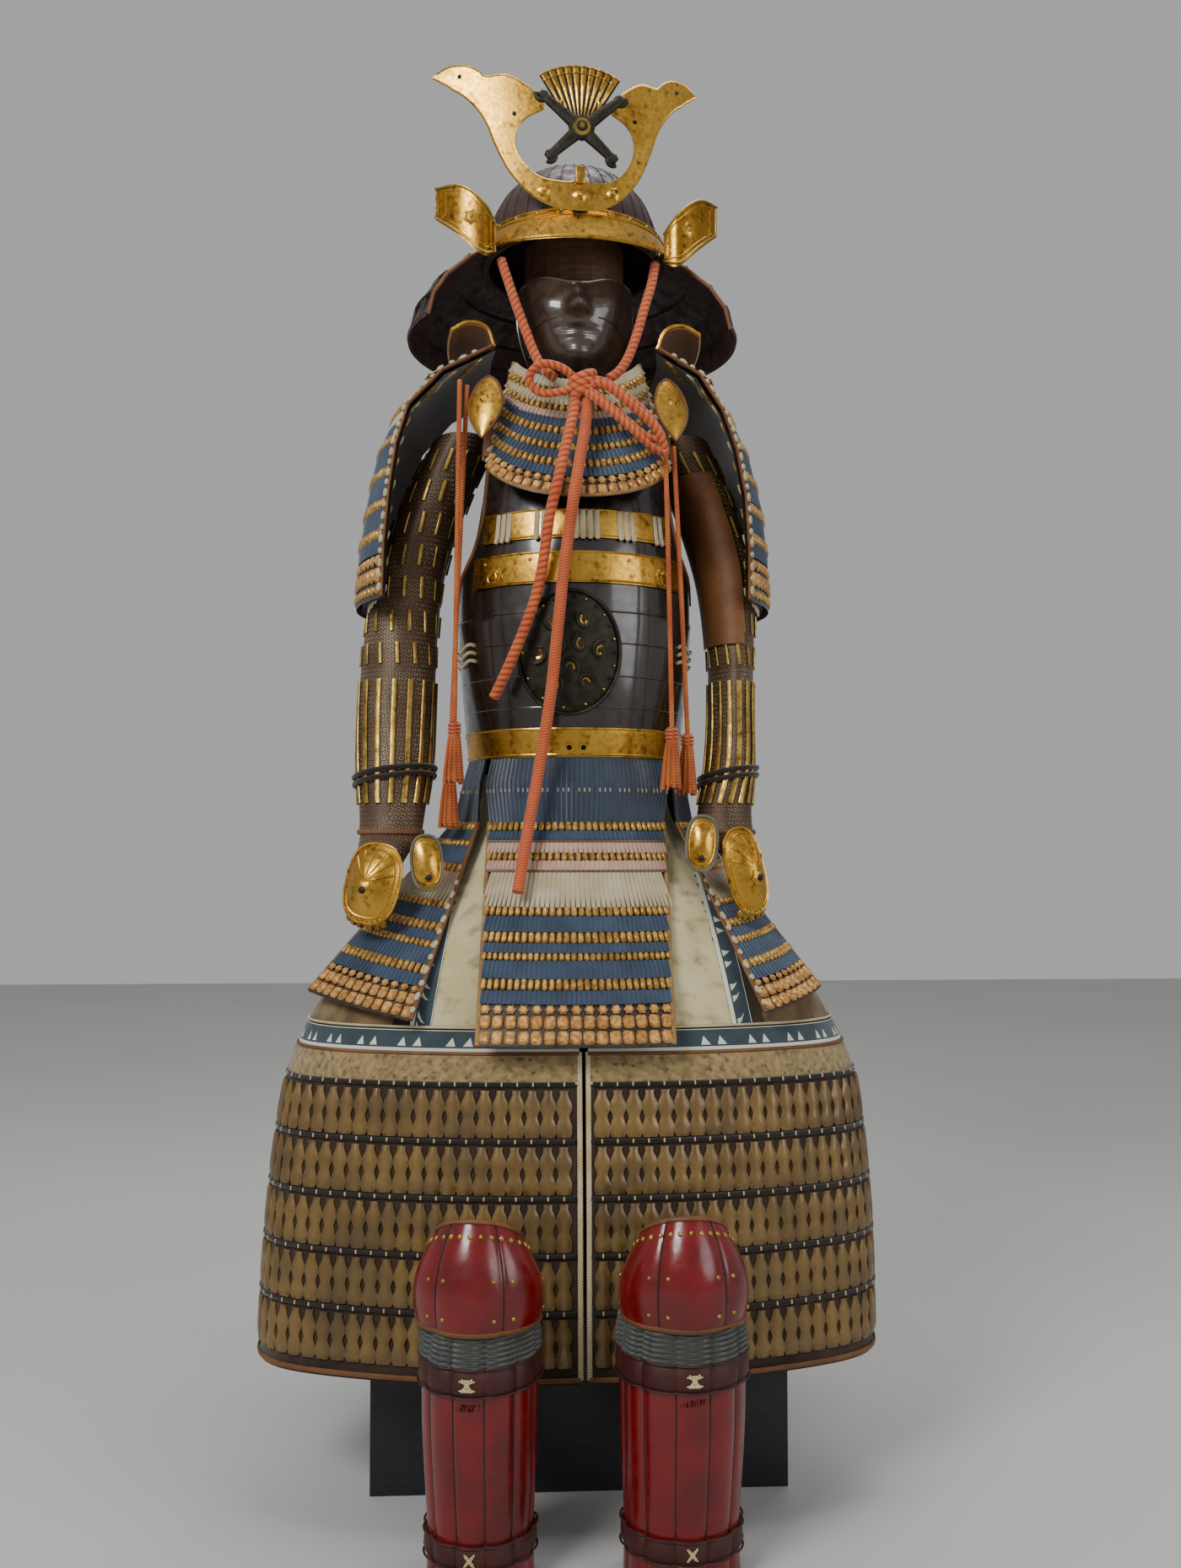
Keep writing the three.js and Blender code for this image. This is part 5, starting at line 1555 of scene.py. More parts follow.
@dataclass
class Helmet:
    """The helmet: a ribbed bowl, a gilt peak, a laced neck guard, turn-backs and a tall gilt crest."""

    x: float = -3.0
    y: float = -15.0
    turn: float = 5.0  # degrees
    wide: float = 114.0
    deep: float = 124.0
    brim: float = 1518.0
    crown: float = 1650.0
    crest_x: float = -8.0
    crest_y: float = -137.0
    sweep_back: float = 300.0

    @property
    def place(self) -> Matrix:
        """Returns where the helmet sits and how it is turned."""
        return placed((self.x, self.y, 0), (math.radians(self.turn), "Z"))

    def make(self, name: str, bm: BMesh, finishes: Sequence[Finish], nodes: Sequence[str]) -> None:
        """Sets a shape on the helmet and makes it a piece. See add_piece for the arguments."""
        bmesh.ops.transform(bm, matrix=self.place, verts=bm.verts)
        add_piece(name, bm, finishes, nodes)

    def round(self, angle: float, wide: float, deep: float, z: float) -> Vector:
        """Returns a point round the helmet's axis, at an angle from its front."""
        a = math.radians(angle)
        return Vector((wide * math.sin(a), -deep * math.cos(a), z))

    def build_bowl(self) -> None:
        """Makes the bowl, its ribs, its rim and the crown fitting."""
        def at(u: float, v: float) -> Vector:
            share = min(max(v, 0.0), 1.0)
            lift, spread = math.cos(share * math.pi / 2) ** 0.8, math.sin(share * math.pi / 2)
            z = mix(self.brim, self.crown, lift)
            return self.round(u * 360, self.wide * spread, self.deep * spread, z)

        bowl = Patch(at)
        bm = ring_shell(bowl, 72, [(mix(0.03, 1.0, i / 24), 0.0) for i in range(25)], 2.6, True)
        for k in range(32):
            draw(bm, bowl.down((k + 0.5) / 32, 0.3, 14, 0.14, 0.99), lambda t: mix(1.6, 3.4, t))
        for k in range(5):
            spot = (0, 0, self.crown - 1 + 1.7 * k)
            join(bm, cone(24, 19 - 3.4 * k, 17 - 3.4 * k, 2.4, placed(spot)), 1)
        rim = [self.round(i / 72 * 360, self.wide + 0.5, self.deep + 0.5, self.brim + 3) for i in range(73)]
        draw(bm, rim, 4.2, 0, 8, closed=True)
        self.make("helmet_bowl_ribbed", bm, [Dress.RUSSET_LACQUER, Dress.GILT], ["helmet_bowl"])

    def build_peak(self) -> None:
        """Makes the gilt peak with its rolled edges and rivets."""
        def at(u: float, v: float) -> Vector:
            angle = mix(-66, 66, u)
            out = 4.6 + 15 * v
            low = 1506 + 13 * (angle / 66) ** 2
            return self.round(angle, self.wide + out, self.deep + out, mix(1549, low, v))

        peak = Patch(at)
        bm = thicken(peak.lay(48, even_rows(10)), 1.6)
        for v, wide in ((0.02, 2.6), (0.22, 2.0), (0.98, 4.0)):
            draw(bm, peak.across(v, 0.4, 48), wide)
        for u in (0.0, 1.0):
            draw(bm, peak.down(u, 0.4, 8), 3.6)
        for i in range(9):
            STOCK.stamp(bm, peak.frame((i + 0.5) / 9, 0.12, 0.0), 1, "stud", 3.2, 2.4)
        self.make("helmet_peak_gilt", bm, [Dress.GILT, Dress.PALE_GILT], ["helmet_peak"])

    def build_neck_guard(self) -> None:
        """Makes the neck guard's four lames, each with spaced dark lacing and a lacquered hem line."""
        rows = ((1524, 120, 130), (1502, 156, 162), (1474, 188, 190), (1446, 207, 206), (1418, 214, 212))

        def at(u: float, v: float) -> Vector:
            k = min(max(v * 4, -0.2), 4.2)
            i = min(max(int(k), 0), 3)
            z, wide, deep = (mix(p, q, k - i) for p, q in zip(rows[i], rows[i + 1]))
            return self.round(mix(64, 296, u), wide, deep, z)

        guard = Patch(at)
        bm = thicken(guard.lay(72, stepped_rows([0.0, 0.25, 0.5, 0.75, 1.0], 3.6, 4)), 3.0)
        for lame in range(4):
            top, foot = lame / 4, (lame + 1) / 4
            draw(bm, guard.across(foot - 0.012, 3.4, 72), 3.2)
            count = round(guard.width(foot) / 44)
            for i in range(count):
                for shift in (-0.0055, 0.0055):
                    place = guard.frame((i + 0.5) / count + shift, mix(top, foot, 0.55), 2.2)
                    STOCK.stamp(bm, place, 1, "strand", 5.0, guard.height(top, foot) * 0.9)
        for u in (0.0, 1.0):
            draw(bm, guard.down(u, 1.0, 16), 5.0, 2, 8)
        seat = [self.round(mix(62, 298, i / 72), 117.6, 127.6, 1520) for i in range(73)]
        draw(bm, seat, 7.0, 0, 8)
        finishes = [Dress.RUSSET_LACQUER, Dress.DARK_CORD, Dress.SMOKED_LEATHER]
        self.make("neck_guard_laced", bm, finishes, ["neck_guard"])

    def build_turnbacks(self) -> None:
        """Makes the turned-back ends of the top lame: gilt leather with a raised border and a flower."""
        across = Sections("share x y low top", (3, 184, -58, 1556, 1594), (2, 154, -84, 1526, 1590),
                          (1, 126, -93, 1500, 1568), (0, 108, -82, 1506, 1542))
        for side, name in ((-1, "left"), (1, "right")):
            def at(u: float, v: float, side: int = side) -> Vector:
                row = across.at((u if side > 0 else 1 - u) * 3)
                return Vector((side * row["x"], row["y"], mix(row["low"], row["top"], 1 - v)))

            patch = Patch(at)
            bm = thicken(patch.lay(18, even_rows(10)), 2.6)
            border = [(i / 14, 0.03) for i in range(15)]
            border += [(0.97, i / 10) for i in range(1, 11)]
            border += [(1 - i / 14, 0.97) for i in range(1, 15)]
            border += [(0.03, 1 - i / 10) for i in range(1, 11)]
            for inset, wide, number in ((1.0, 3.6, 1), (0.76, 1.6, 0)):
                loop = [patch.out(0.5 + (u - 0.5) * inset, 0.5 + (v - 0.5) * inset, 0.4) for u, v in border]
                draw(bm, loop, wide, number, closed=True)
            STOCK.stamp(bm, patch.frame(0.5, 0.5, 0.0), 0, "rosette", 11.0)
            STOCK.stamp(bm, patch.frame(0.5, 0.5, 1.6), 1, "stud", 3.5, 2.4)
            for u, v in ((0.1, 0.12), (0.9, 0.12), (0.1, 0.88), (0.9, 0.88)):
                STOCK.stamp(bm, patch.frame(u, v, 0.0), 1, "stud", 2.0, 1.6)
            node = f"turnback_{name}"
            self.make(node + "_gilt", bm, [Dress.GILT, Dress.PALE_GILT], [node])

    def horn(self, side: int, reach: float) -> Patch:
        """Returns one horn's surface, between its two edges, from the crest's middle to its tip."""
        edges = (
            (0, 1543, 0, 1592), (8, 1543.3, 7, 1578), (30, 1546, 24, 1577), (55, 1560, 46, 1582),
            (77, 1584, 64, 1598), (90, 1608, 75, 1622), (99, 1630, 73, 1645), (105, 1648, 60, 1660),
            (109, 1657, 43, 1670), (113, 1665, 50, 1686), (120, 1676, 64, 1700), (128, 1686, 86, 1713),
            (138, 1696, 108, 1713), (146, 1702, 117, 1721), (152, 1708, 130, 1729), (160, 1714, 150, 1731),
            (170, 1722, 168, 1723))
        outer = curve([(x, 0, z) for x, z, _, _ in edges], 4)
        inner = curve([(x, 0, z) for _, _, x, z in edges], 4)
        last = len(outer) - 1

        def at(u: float, v: float) -> Vector:
            k = min(max(v * last, -0.5), last + 0.5)
            i = min(max(int(k), 0), last - 1)
            edge = outer[i].lerp(outer[i + 1], k - i)
            mouth = inner[i].lerp(inner[i + 1], k - i)
            point = edge.lerp(mouth, 1 - u if side < 0 else u)
            back = self.crest_y + point.x ** 2 / (2 * self.sweep_back)
            point = Vector((side * point.x, back, point.z))
            return Vector((self.crest_x + point.x * reach, point.y, point.z))

        return Patch(at)

    def build_horns(self) -> None:
        """Makes the gilt horns in one thin sheet, with a beaded edge, rivets, three flowers and a tab."""
        bm = bmesh.new()
        for side, reach in ((-1, 1.07), (1, 0.93)):
            horn = self.horn(side, reach)
            sheet = horn.lay(8, even_rows(64))
            bmesh.ops.recalc_face_normals(sheet, faces=sheet.faces)
            if sum(f.normal.y * f.calc_area() for f in sheet.faces) > 0:
                bmesh.ops.reverse_faces(sheet, faces=sheet.faces)
            join(bm, thicken(sheet, 2.2))
            for u in (0.0, 1.0):
                edge = [horn.at(u, i / 64) + Vector((0, 0.6, 0)) for i in range(64)]
                draw(bm, edge, 2.8)
            for v in (0.86, 0.5):
                STOCK.stamp(bm, placed(horn.at(0.5, v), (math.pi / 2, "X")), 1, "stud", 3.0, 1.8)
        for x, z in ((-44, 1566), (0, 1561), (42, 1566)):
            y = self.crest_y + x * x / (2 * self.sweep_back)
            place = placed((self.crest_x + x, y, z), (math.pi / 2, "X"))
            STOCK.stamp(bm, place, 0, "rosette", 10.0)
            STOCK.stamp(bm, placed((0, -2.4, 0)) @ place, 0, "stud", 3.5, 2.5)
        join(bm, box((12, 4, 22), 1.4, (self.crest_x, self.crest_y - 1, 1586)))
        self.make("crest_horns_gilt", bm, [Dress.GILT, Dress.BLACKENED], ["crest_horns"])

    def build_fan(self) -> None:
        """Makes the open fan: ten folds on ribs, with a crescent and an outer border."""
        def at(u: float, v: float) -> Vector:
            a = math.radians(mix(-32, 32, u))
            radius = mix(94, 26, v)
            fold = 1.4 * (1 - abs((u * 10) % 1 * 2 - 1))
            return Vector((self.crest_x + radius * math.sin(a), self.crest_y + 4.4 - fold,
                           1632 + radius * math.cos(a)))

        fan = Patch(at)
        bm = thicken(fan.lay(40, even_rows(8)), 1.6)
        for k in range(11):
            spoke = [fan.at(k / 10, v) + Vector((0, -0.6, 0)) for v in (0.0, 0.4, 0.8, 1.0)]
            join(bm, sweep(spoke, lambda t: mix(2.6, 4.6, t), 2.0, FRONT), 1)
        for v in (0.0, 0.12):
            draw(bm, [fan.at(i / 40, v) + Vector((0, -0.4, 0)) for i in range(41)], 2.4)
        moon = [Vector((self.crest_x + 24 * math.sin(a), self.crest_y + 1.2, 1676 - 20 * math.cos(a)))
                for a in [mix(-1.9, 1.9, i / 30) for i in range(31)]]
        join(bm, sweep(moon, lambda t: 1.5 + 9 * math.sin(t * math.pi), 3.0, FRONT, 8))
        self.make("crest_fan_folded", bm, [Dress.GILT, Dress.BLACKENED], ["crest_fan"])

    def build_brace(self) -> None:
        """Makes the dark cross in the crest's opening: four scrolled arms with curls and a ribbed boss."""
        bm = bmesh.new()
        y = self.crest_y - 10.5
        for angle, long in ((38, 64), (142, 64), (-44, 56), (-136, 56)):
            a = math.radians(angle)
            line = []
            for i in range(30):
                t = i / 29
                reach = long * min(t / 0.62, 1.0)
                curl = max(0.0, (t - 0.62) / 0.38)
                hook = 9 * (1 - 0.5 * curl)
                spin = a + math.copysign(1.0, math.cos(a)) * (math.pi / 2 + curl * 4.4)
                base = Vector((reach * math.cos(a), 0, reach * math.sin(a)))
                lift = Vector((math.cos(spin), 0, math.sin(spin))) * hook * min(curl * 3, 1.0)
                bow = math.sin(t * math.pi) * 5
                line.append(Vector((self.crest_x, y - bow * 0.4, 1640)) + base + lift)
            join(bm, sweep(line, lambda t: 20 - 13 * t ** 0.8, lambda t: mix(12, 5, t), FRONT, 10))
        for k in range(4):
            boss = cone(8 + 8 * (k % 2), 17 - 4 * k, 14 - 4 * k, 4, Matrix.Rotation(math.pi / 2, 4, "X"))
            bmesh.ops.translate(boss, vec=(self.crest_x, y - 4 - 1.8 * k, 1640), verts=boss.verts)
            join(bm, boss, k % 2)
        finishes = [Dress.BLACKENED, Dress.PALE_GILT]
        self.make("crest_brace_scrolled", bm, finishes, ["crest_brace"])

    def build_socket(self) -> None:
        """Makes the post behind the crest's foot, which carries the crest on the bowl."""
        post = box((16, 10, 34), 1.2, (self.crest_x, self.crest_y + 8.4, 1556))
        self.make("crest_socket_post", post, [Dress.BLACKENED], ["crest_socket"])

    def build(self) -> None:
        """Makes the whole helmet."""
        self.build_bowl()
        self.build_socket()
        self.build_peak()
        self.build_neck_guard()
        self.build_turnbacks()
        self.build_horns()
        self.build_fan()
        self.build_brace()


@dataclass
class FaceMask:
    """A calm half mask of plain proportions: nose, cheeks, closed mouth and a round chin."""

    y: float = -22.0
    top: float = 1472.0
    foot: float = 1352.0
    rows: Sections = field(default_factory=lambda: Sections(
        "z half reach", (1472, 74, 86), (1456, 76, 94), (1440, 76, 98), (1422, 73, 98), (1404, 68, 96),
        (1388, 62, 93), (1374, 54, 88), (1362, 44, 76), (1352, 32, 60)))
    features: tuple[tuple[float, float, float, float, float], ...] = (
        (0, 1454, 9, 16, 14), (0, 1434, 13, 9, 20), (42, 1440, 18, 16, 6), (-42, 1440, 18, 16, 6),
        (0, 1411, 22, 4, -5), (0, 1402, 18, 5, 4), (0, 1378, 24, 15, 12), (11, 1431, 5, 5, 4),
        (-11, 1431, 5, 5, 4))

    def at(self, u: float, v: float) -> Vector:
        """Returns the mask's point at a share across and down."""
        z = mix(self.top, self.foot, v)
        row = self.rows.at(z)
        a = math.radians(mix(-86, 86, u))
        x = row["half"] * math.sin(a)
        rise = (10 - 14 * math.exp(-(x / 34) ** 2)) * max(0.0, 1 - v * 9)
        swell = sum(out * math.exp(-((x - fx) / wide) ** 2 - ((z - fz) / high) ** 2)
                    for fx, fz, wide, high, out in self.features)
        return Vector((x, self.y - row["reach"] * math.cos(a) - swell, z + rise))

    def build(self) -> None:
        """Makes the mask, its rolled rim, its cord pegs and its ridge under the cheeks."""
        face = Patch(self.at)
        bm = thicken(face.lay(64, even_rows(64)), 2.8)
        rim = [self.at(i / 40, 0.0) for i in range(41)]
        rim += [self.at(1.0, i / 24) for i in range(1, 25)]
        rim += [self.at(1 - i / 40, 1.0) for i in range(1, 41)]
        rim += [self.at(0.0, 1 - i / 24) for i in range(1, 25)]
        draw(bm, rim, 4.2, 0, 8, closed=True)
        for side in (-1, 1):
            ridge = [face.out(0.5 + side * mix(0.12, 0.46, i / 12), mix(0.42, 0.62, (i / 12) ** 2), 0.6)
                     for i in range(13)]
            draw(bm, ridge, lambda t: 2 + 2.4 * math.sin(t * math.pi))
            STOCK.stamp(bm, face.frame(0.5 + side * 0.4, 0.7, 0.0), 1, "stud", 4.0, 6.0)
        add_piece("face_mask_lacquered", bm, [Dress.MASK_LACQUER, Dress.BLACKENED], ["face_mask"])


# ---------------------------------------------------------------- sleeves, hands, thighs and shins
def flat_size(patch: Patch) -> tuple[tuple[float, float], float]:
    """Returns the cut size of a surface as its width and length in metres, and its area in square metres."""
    widths = [patch.width(i / 8) for i in range(9)]
    long = patch.height()
    return (max(widths) * MM, long * MM), sum(widths) / 9 * long * MM * MM


@dataclass
class Sleeve:
    """An armoured sleeve: a mail tube on cloth, long gilt splints on the forearm and small ones above."""

    side: str
    table: Sections
    leather: bool = False
    top: float = 1284.0
    foot: float = 768.0

    def at(self, u: float, v: float) -> Vector:
        """Returns the sleeve's point at a share round from its front and a share down."""
        z = mix(self.top, self.foot, v)
        row = self.table.at(z)
        a = u * 2 * math.pi
        x, y, t = row["wide"] * math.sin(a), -row["deep"] * math.cos(a), math.radians(row["turn"])
        ripple = 0.8 * math.sin(z / 17) * math.sin(a * 3)
        return Vector((row["x"] + x * math.cos(t) - y * math.sin(t),
                       row["y"] + x * math.sin(t) + y * math.cos(t) - ripple, z))

    def share(self, z: float) -> float:
        """Returns the share down at a height."""
        return (self.top - z) / (self.top - self.foot)

    def build(self) -> None:
        """Makes the mail sleeve, its splints, its ties and its bound cuff."""
        tube = Patch(self.at)
        cloth = add_piece(f"sleeve_{self.side}_mail", ring_shell(tube, 48, even_rows(60), 2.2), [Dress.MAIL],
                          [f"sleeve_{self.side}"])
        size, area = flat_size(tube)
        bm = bmesh.new()
        for k in range(-4, 5):
            join(bm, strip(tube, k * 0.066, self.share(962), self.share(806), 7, 3.4, 1.8, -0.004 * k))
        for row, top in enumerate((1262, 1222, 1180, 1138, 1096, 1052, 1010)):
            for k in range(-4, 5):
                u = (k + row % 2 * 0.5) * 0.075
                join(bm, strip(tube, u, self.share(top), self.share(top - 27), 5, 2.8, 1.6, 0.01))
        join(bm, band(tube, self.share(771), 7, 5.0, 0.8, steps=48), 2)
        for turn in range(2):
            heights = [845 - 9 * turn + 8 * math.sin(a + 0.6) for a in turns(48)]
            tie = [tube.out(i / 48, self.share(z), 5.0) for i, z in enumerate(heights)]
            draw(bm, tie, 6.0, 1, 8, closed=True)
        if self.leather:
            sheet = tube.part((-0.3, 0.04), (self.share(1236), self.share(1012))).lay(20, even_rows(16, 4.2))
            join(bm, thicken(sheet, 1.8), 2)
        finishes = [Dress.PALE_GILT, Dress.DARK_CORD, Dress.SMOKED_LEATHER]
        add_piece(f"sleeve_{self.side}_splints", bm, finishes)


@dataclass(frozen=True)
class HandPlate:
    """A domed gilt plate over the hand or the thumb, with a raised rim."""

    name: str
    x: float
    y: float
    z: float
    wide: float
    high: float
    bulge: float
    tilt: float
    turn: float
    cuff: tuple[float, float, float, float, float] | None = None
    lean: float = -0.14
    square: float = 0.75

    def dome(self) -> Patch:
        """Returns the dome's surface: round it from the right, and from its middle out to its rim."""
        turn, tilt = math.radians(self.turn), math.radians(self.tilt)
        place = placed((self.x, self.y, self.z), (turn, "Z"), (tilt, "Y"), (self.lean, "X"))
        rounded = lambda n: math.copysign(abs(n) ** self.square, n)

        def at(u: float, v: float) -> Vector:
            a = u * 2 * math.pi
            return place @ Vector((self.wide / 2 * v * rounded(math.cos(a)), self.bulge * (v * v - 1),
                                   self.high / 2 * v * rounded(math.sin(a))))

        return Patch(at)

    def tongue(self, dome: Patch, cuff: tuple[float, float, float, float, float]) -> BMesh:
        """Makes the mail that runs from the cuff to the back of the plate.

        Args:
            dome: the plate's surface.
            cuff: the cuff's middle, half width and half depth.

        Returns:
            The mail.
        """
        x, y, z, wide, deep = cuff

        def at(u: float, v: float) -> Vector:
            a = math.radians(mix(-80, 80, u))
            above = Vector((x + wide * math.sin(a), y - deep * math.cos(a), z))
            behind = dome.out(mix(0.52, -0.02, u), 0.7, -5.0)
            bow = Vector((0, -6 * math.sin(v * math.pi), 0))
            return above.lerp(behind, v) + bow

        return thicken(Patch(at).lay(20, even_rows(12)), 1.6)

    def build(self) -> None:
        """Makes the plate, its rims, its raised ribs or its boss, and the row of small plates at its foot."""
        dome = self.dome()
        bm = ring_shell(dome, 48, even_rows(14), 1.6)
        thumb = self.name.startswith("thumb")
        rim = dome.across(0.97, 0.3, 64)
        join(bm, sweep(rim, 6.0 if thumb else 4.6, 4.0, around=8, closed=True), 1)
        draw(bm, dome.across(0.84, 0.2, 64), 1.8, closed=True)
        if thumb:
            STOCK.stamp(bm, dome.frame(0.75, 0.55, 0.0), 2, "stud", 5.0, 4.0)
            STOCK.stamp(bm, dome.frame(0.75, 0.55, 0.0), 0, "rosette", 7.5)
        else:
            for k in range(7):
                draw(bm, dome.down(mix(0.04, 0.46, k / 6), 0.0, 8, 0.16, 0.8), lambda t: mix(1.4, 3.4, t))
            STOCK.stamp(bm, dome.frame(0.75, 0.2, 0.0), 0, "rosette", 12.0)
            STOCK.stamp(bm, dome.frame(0.75, 0.2, 1.6), 2, "stud", 5.0, 4.0)
            for k in range(6):
                STOCK.stamp(bm, dome.frame(mix(0.66, 0.84, k / 5), 1.02, -2.0), 3, "plate", 9.0, 15.0)
        if self.cuff:
            join(bm, self.tongue(dome, self.cuff), 4)
        finishes = [Dress.GILT, Dress.GREY_LEATHER if thumb else Dress.GILT, Dress.BLACKENED, Dress.PALE_GILT,
                    Dress.MAIL]
        add_piece(f"{self.name}_domed", bm, finishes, [self.name])


@dataclass
class ThighGuard:
    """One half of the divided thigh apron: cream and brown cloth, a navy tape, brocade and leather plates."""

    side: str
    top: float = 846.0
    foot: float = 165.0
    plate_tops: tuple[float, ...] = (485.0, 423.5, 362.0, 300.5, 239.0)
    plate_high: float = 52.0
    pitch: float = 18.0
    rows: Sections = field(default_factory=lambda: Sections(
        "z left right front edge square", (846, 118, 118, -128, -10, 1), (790, 128, 128, -140, -14, 1),
        (740, 160, 160, -160, -30, .95), (690, 205, 205, -184, -52, .85), (640, 254, 250, -212, -72, .75),
        (600, 292, 280, -232, -88, .7), (560, 320, 304, -247, -97, .66), (490, 348, 334, -267, -108, .6),
        (410, 362, 346, -279, -112, .6), (330, 370, 352, -288, -115, .6), (250, 375, 354, -294, -118, .6),
        (165, 378, 354, -299, -121, .6)))

    def at(self, u: float, v: float) -> Vector:
        """Returns the cloth's point at a share across, from the left as seen from the front, and down."""
        sign = -1 if self.side == "left" else 1
        z = mix(self.top, self.foot, v)
        row = self.rows.at(z)
        a = math.radians(87 * (1 - u if sign < 0 else u))
        x = sign * (row[self.side] * math.sin(a) + 5 * (1 - math.sin(a)))
        wave = 3 * math.sin(6 * a) * max(0.0, 620 - z) / 455
        spread = max(math.cos(a), 0.0) ** row["square"]
        return Vector((x, row["edge"] + (row["front"] - row["edge"]) * spread - wave, z))

    def share(self, z: float) -> float:
        """Returns the share down at a height."""
        return (self.top - z) / (self.top - self.foot)

    def across(self, x: float, z: float) -> float:
        """Returns the share across at a distance from the middle, at a height."""
        row = self.rows.at(z)
        a = math.degrees(math.asin(min(max((x - 5) / (row[self.side] - 5), 0.0), 1.0))) / 87
        return 1 - a if self.side == "left" else a

    def build_cloth(self, cloth: Patch) -> None:
        """Makes the backing cloth: cream beside the front panel above, dark brown elsewhere."""
        bm = cloth.lay(56, even_rows(64))
        for face in bm.faces:
            middle = face.calc_center_median()
            aside = abs(middle.x)
            if middle.z < 548 or aside <= 60:
                face.material_index = 1
            elif aside < mix(146, 178, min(max((720 - middle.z) / 180, 0.0), 1.0)):
                face.material_index = 0
            else:
                face.material_index = 2 if aside > 215 else 1
        finishes = [Dress.CREAM_CLOTH, Dress.BROWN_CLOTH, Dress.TAN_CLOTH]
        made = add_piece(f"thigh_guard_{self.side}_cloth", thicken(bm, 2.2), finishes,
                         [f"thigh_guard_{self.side}"])
        size, area = flat_size(cloth)

    def build_tapes(self, cloth: Patch) -> None:
        """Makes the tape across, the brocade under it, the leaning tape above, and the edge bindings."""
        bm = thicken(cloth.part((0, 1), (self.share(543), self.share(521))).lay(56, even_rows(4, 1.4)), 1.0)
        brocade = cloth.part((0, 1), (self.share(516), self.share(488)))
        join(bm, thicken(brocade.lay(56, even_rows(6, 1.6)), 1.4), 1)

        def leaning(a: float, b: float) -> Vector:
            z = mix(742, 548, a)
            x = mix(142, 174, a) + (24 * b if self.side == "right" else 24 * (1 - b))
            return cloth.out(self.across(x, z), self.share(z), 1.6)

        join(bm, thicken(Patch(lambda a, b: leaning(a, 1 - b)).lay(30, even_rows(4)), 1.0))
        for v, wide, number in ((self.share(518), 4, 2), (self.share(486), 3, 3), (self.share(546), 3, 3),
                                (self.share(168), 6, 2)):
            join(bm, band(cloth, v, wide, 3.2, 1.8), number)
        inner = 1.0 if self.side == "left" else 0.0
        for u, number in ((inner, 3), (1 - inner, 2)):
            join(bm, strip(cloth, u, self.share(520), self.share(168), 6, 4, 0.6), number)
        finishes = [Dress.TAPE, Dress.BROCADE, Dress.SMOKED_LEATHER, Dress.CREAM_CORD]
        add_piece(f"thigh_guard_{self.side}_tapes", bm, finishes)

    def build_plates(self, cloth: Patch) -> None:
        """Makes the five rows of waisted leather plates, each under a raised dark cord and cream stitches."""
        bm = bmesh.new()
        for top in self.plate_tops:
            v = self.share(top - 6 - self.plate_high / 2)
            count = round(cloth.width(v, 0.015, 0.985) / self.pitch)
            pitch = cloth.width(v, 0.015, 0.985) / count
            reach = [cloth.width(v, 0.0, i / 60) for i in range(61)]
            for k in range(count):
                aim = mix(reach[0], reach[-1], 0.015) + (k + 0.5) * pitch
                i = next(i for i, r in enumerate(reach) if r >= aim or i == 60)
                u = (i - 1 + (aim - reach[i - 1]) / (reach[i] - reach[i - 1])) / 60
                STOCK.stamp(bm, cloth.frame(u, v, 1.0), 0, "keyhole", pitch * 1.02, self.plate_high)
                STOCK.stamp(bm, cloth.frame(u, self.share(top), 4.0), 2, "bead", 2.5, 6.0)
            join(bm, band(cloth, self.share(top), 5.5, 5.0, 2.0, 0.01, 0.99), 1)
        finishes = [Dress.THIGH_GOLD, Dress.DARK_CORD, Dress.CREAM_SILK]
        add_piece(f"thigh_guard_{self.side}_plates", bm, finishes)

    def build(self) -> None:
        """Makes the cloth, the tapes and the plates."""
        cloth = Patch(self.at)
        self.build_cloth(cloth)
        self.build_tapes(cloth)
        self.build_plates(cloth)


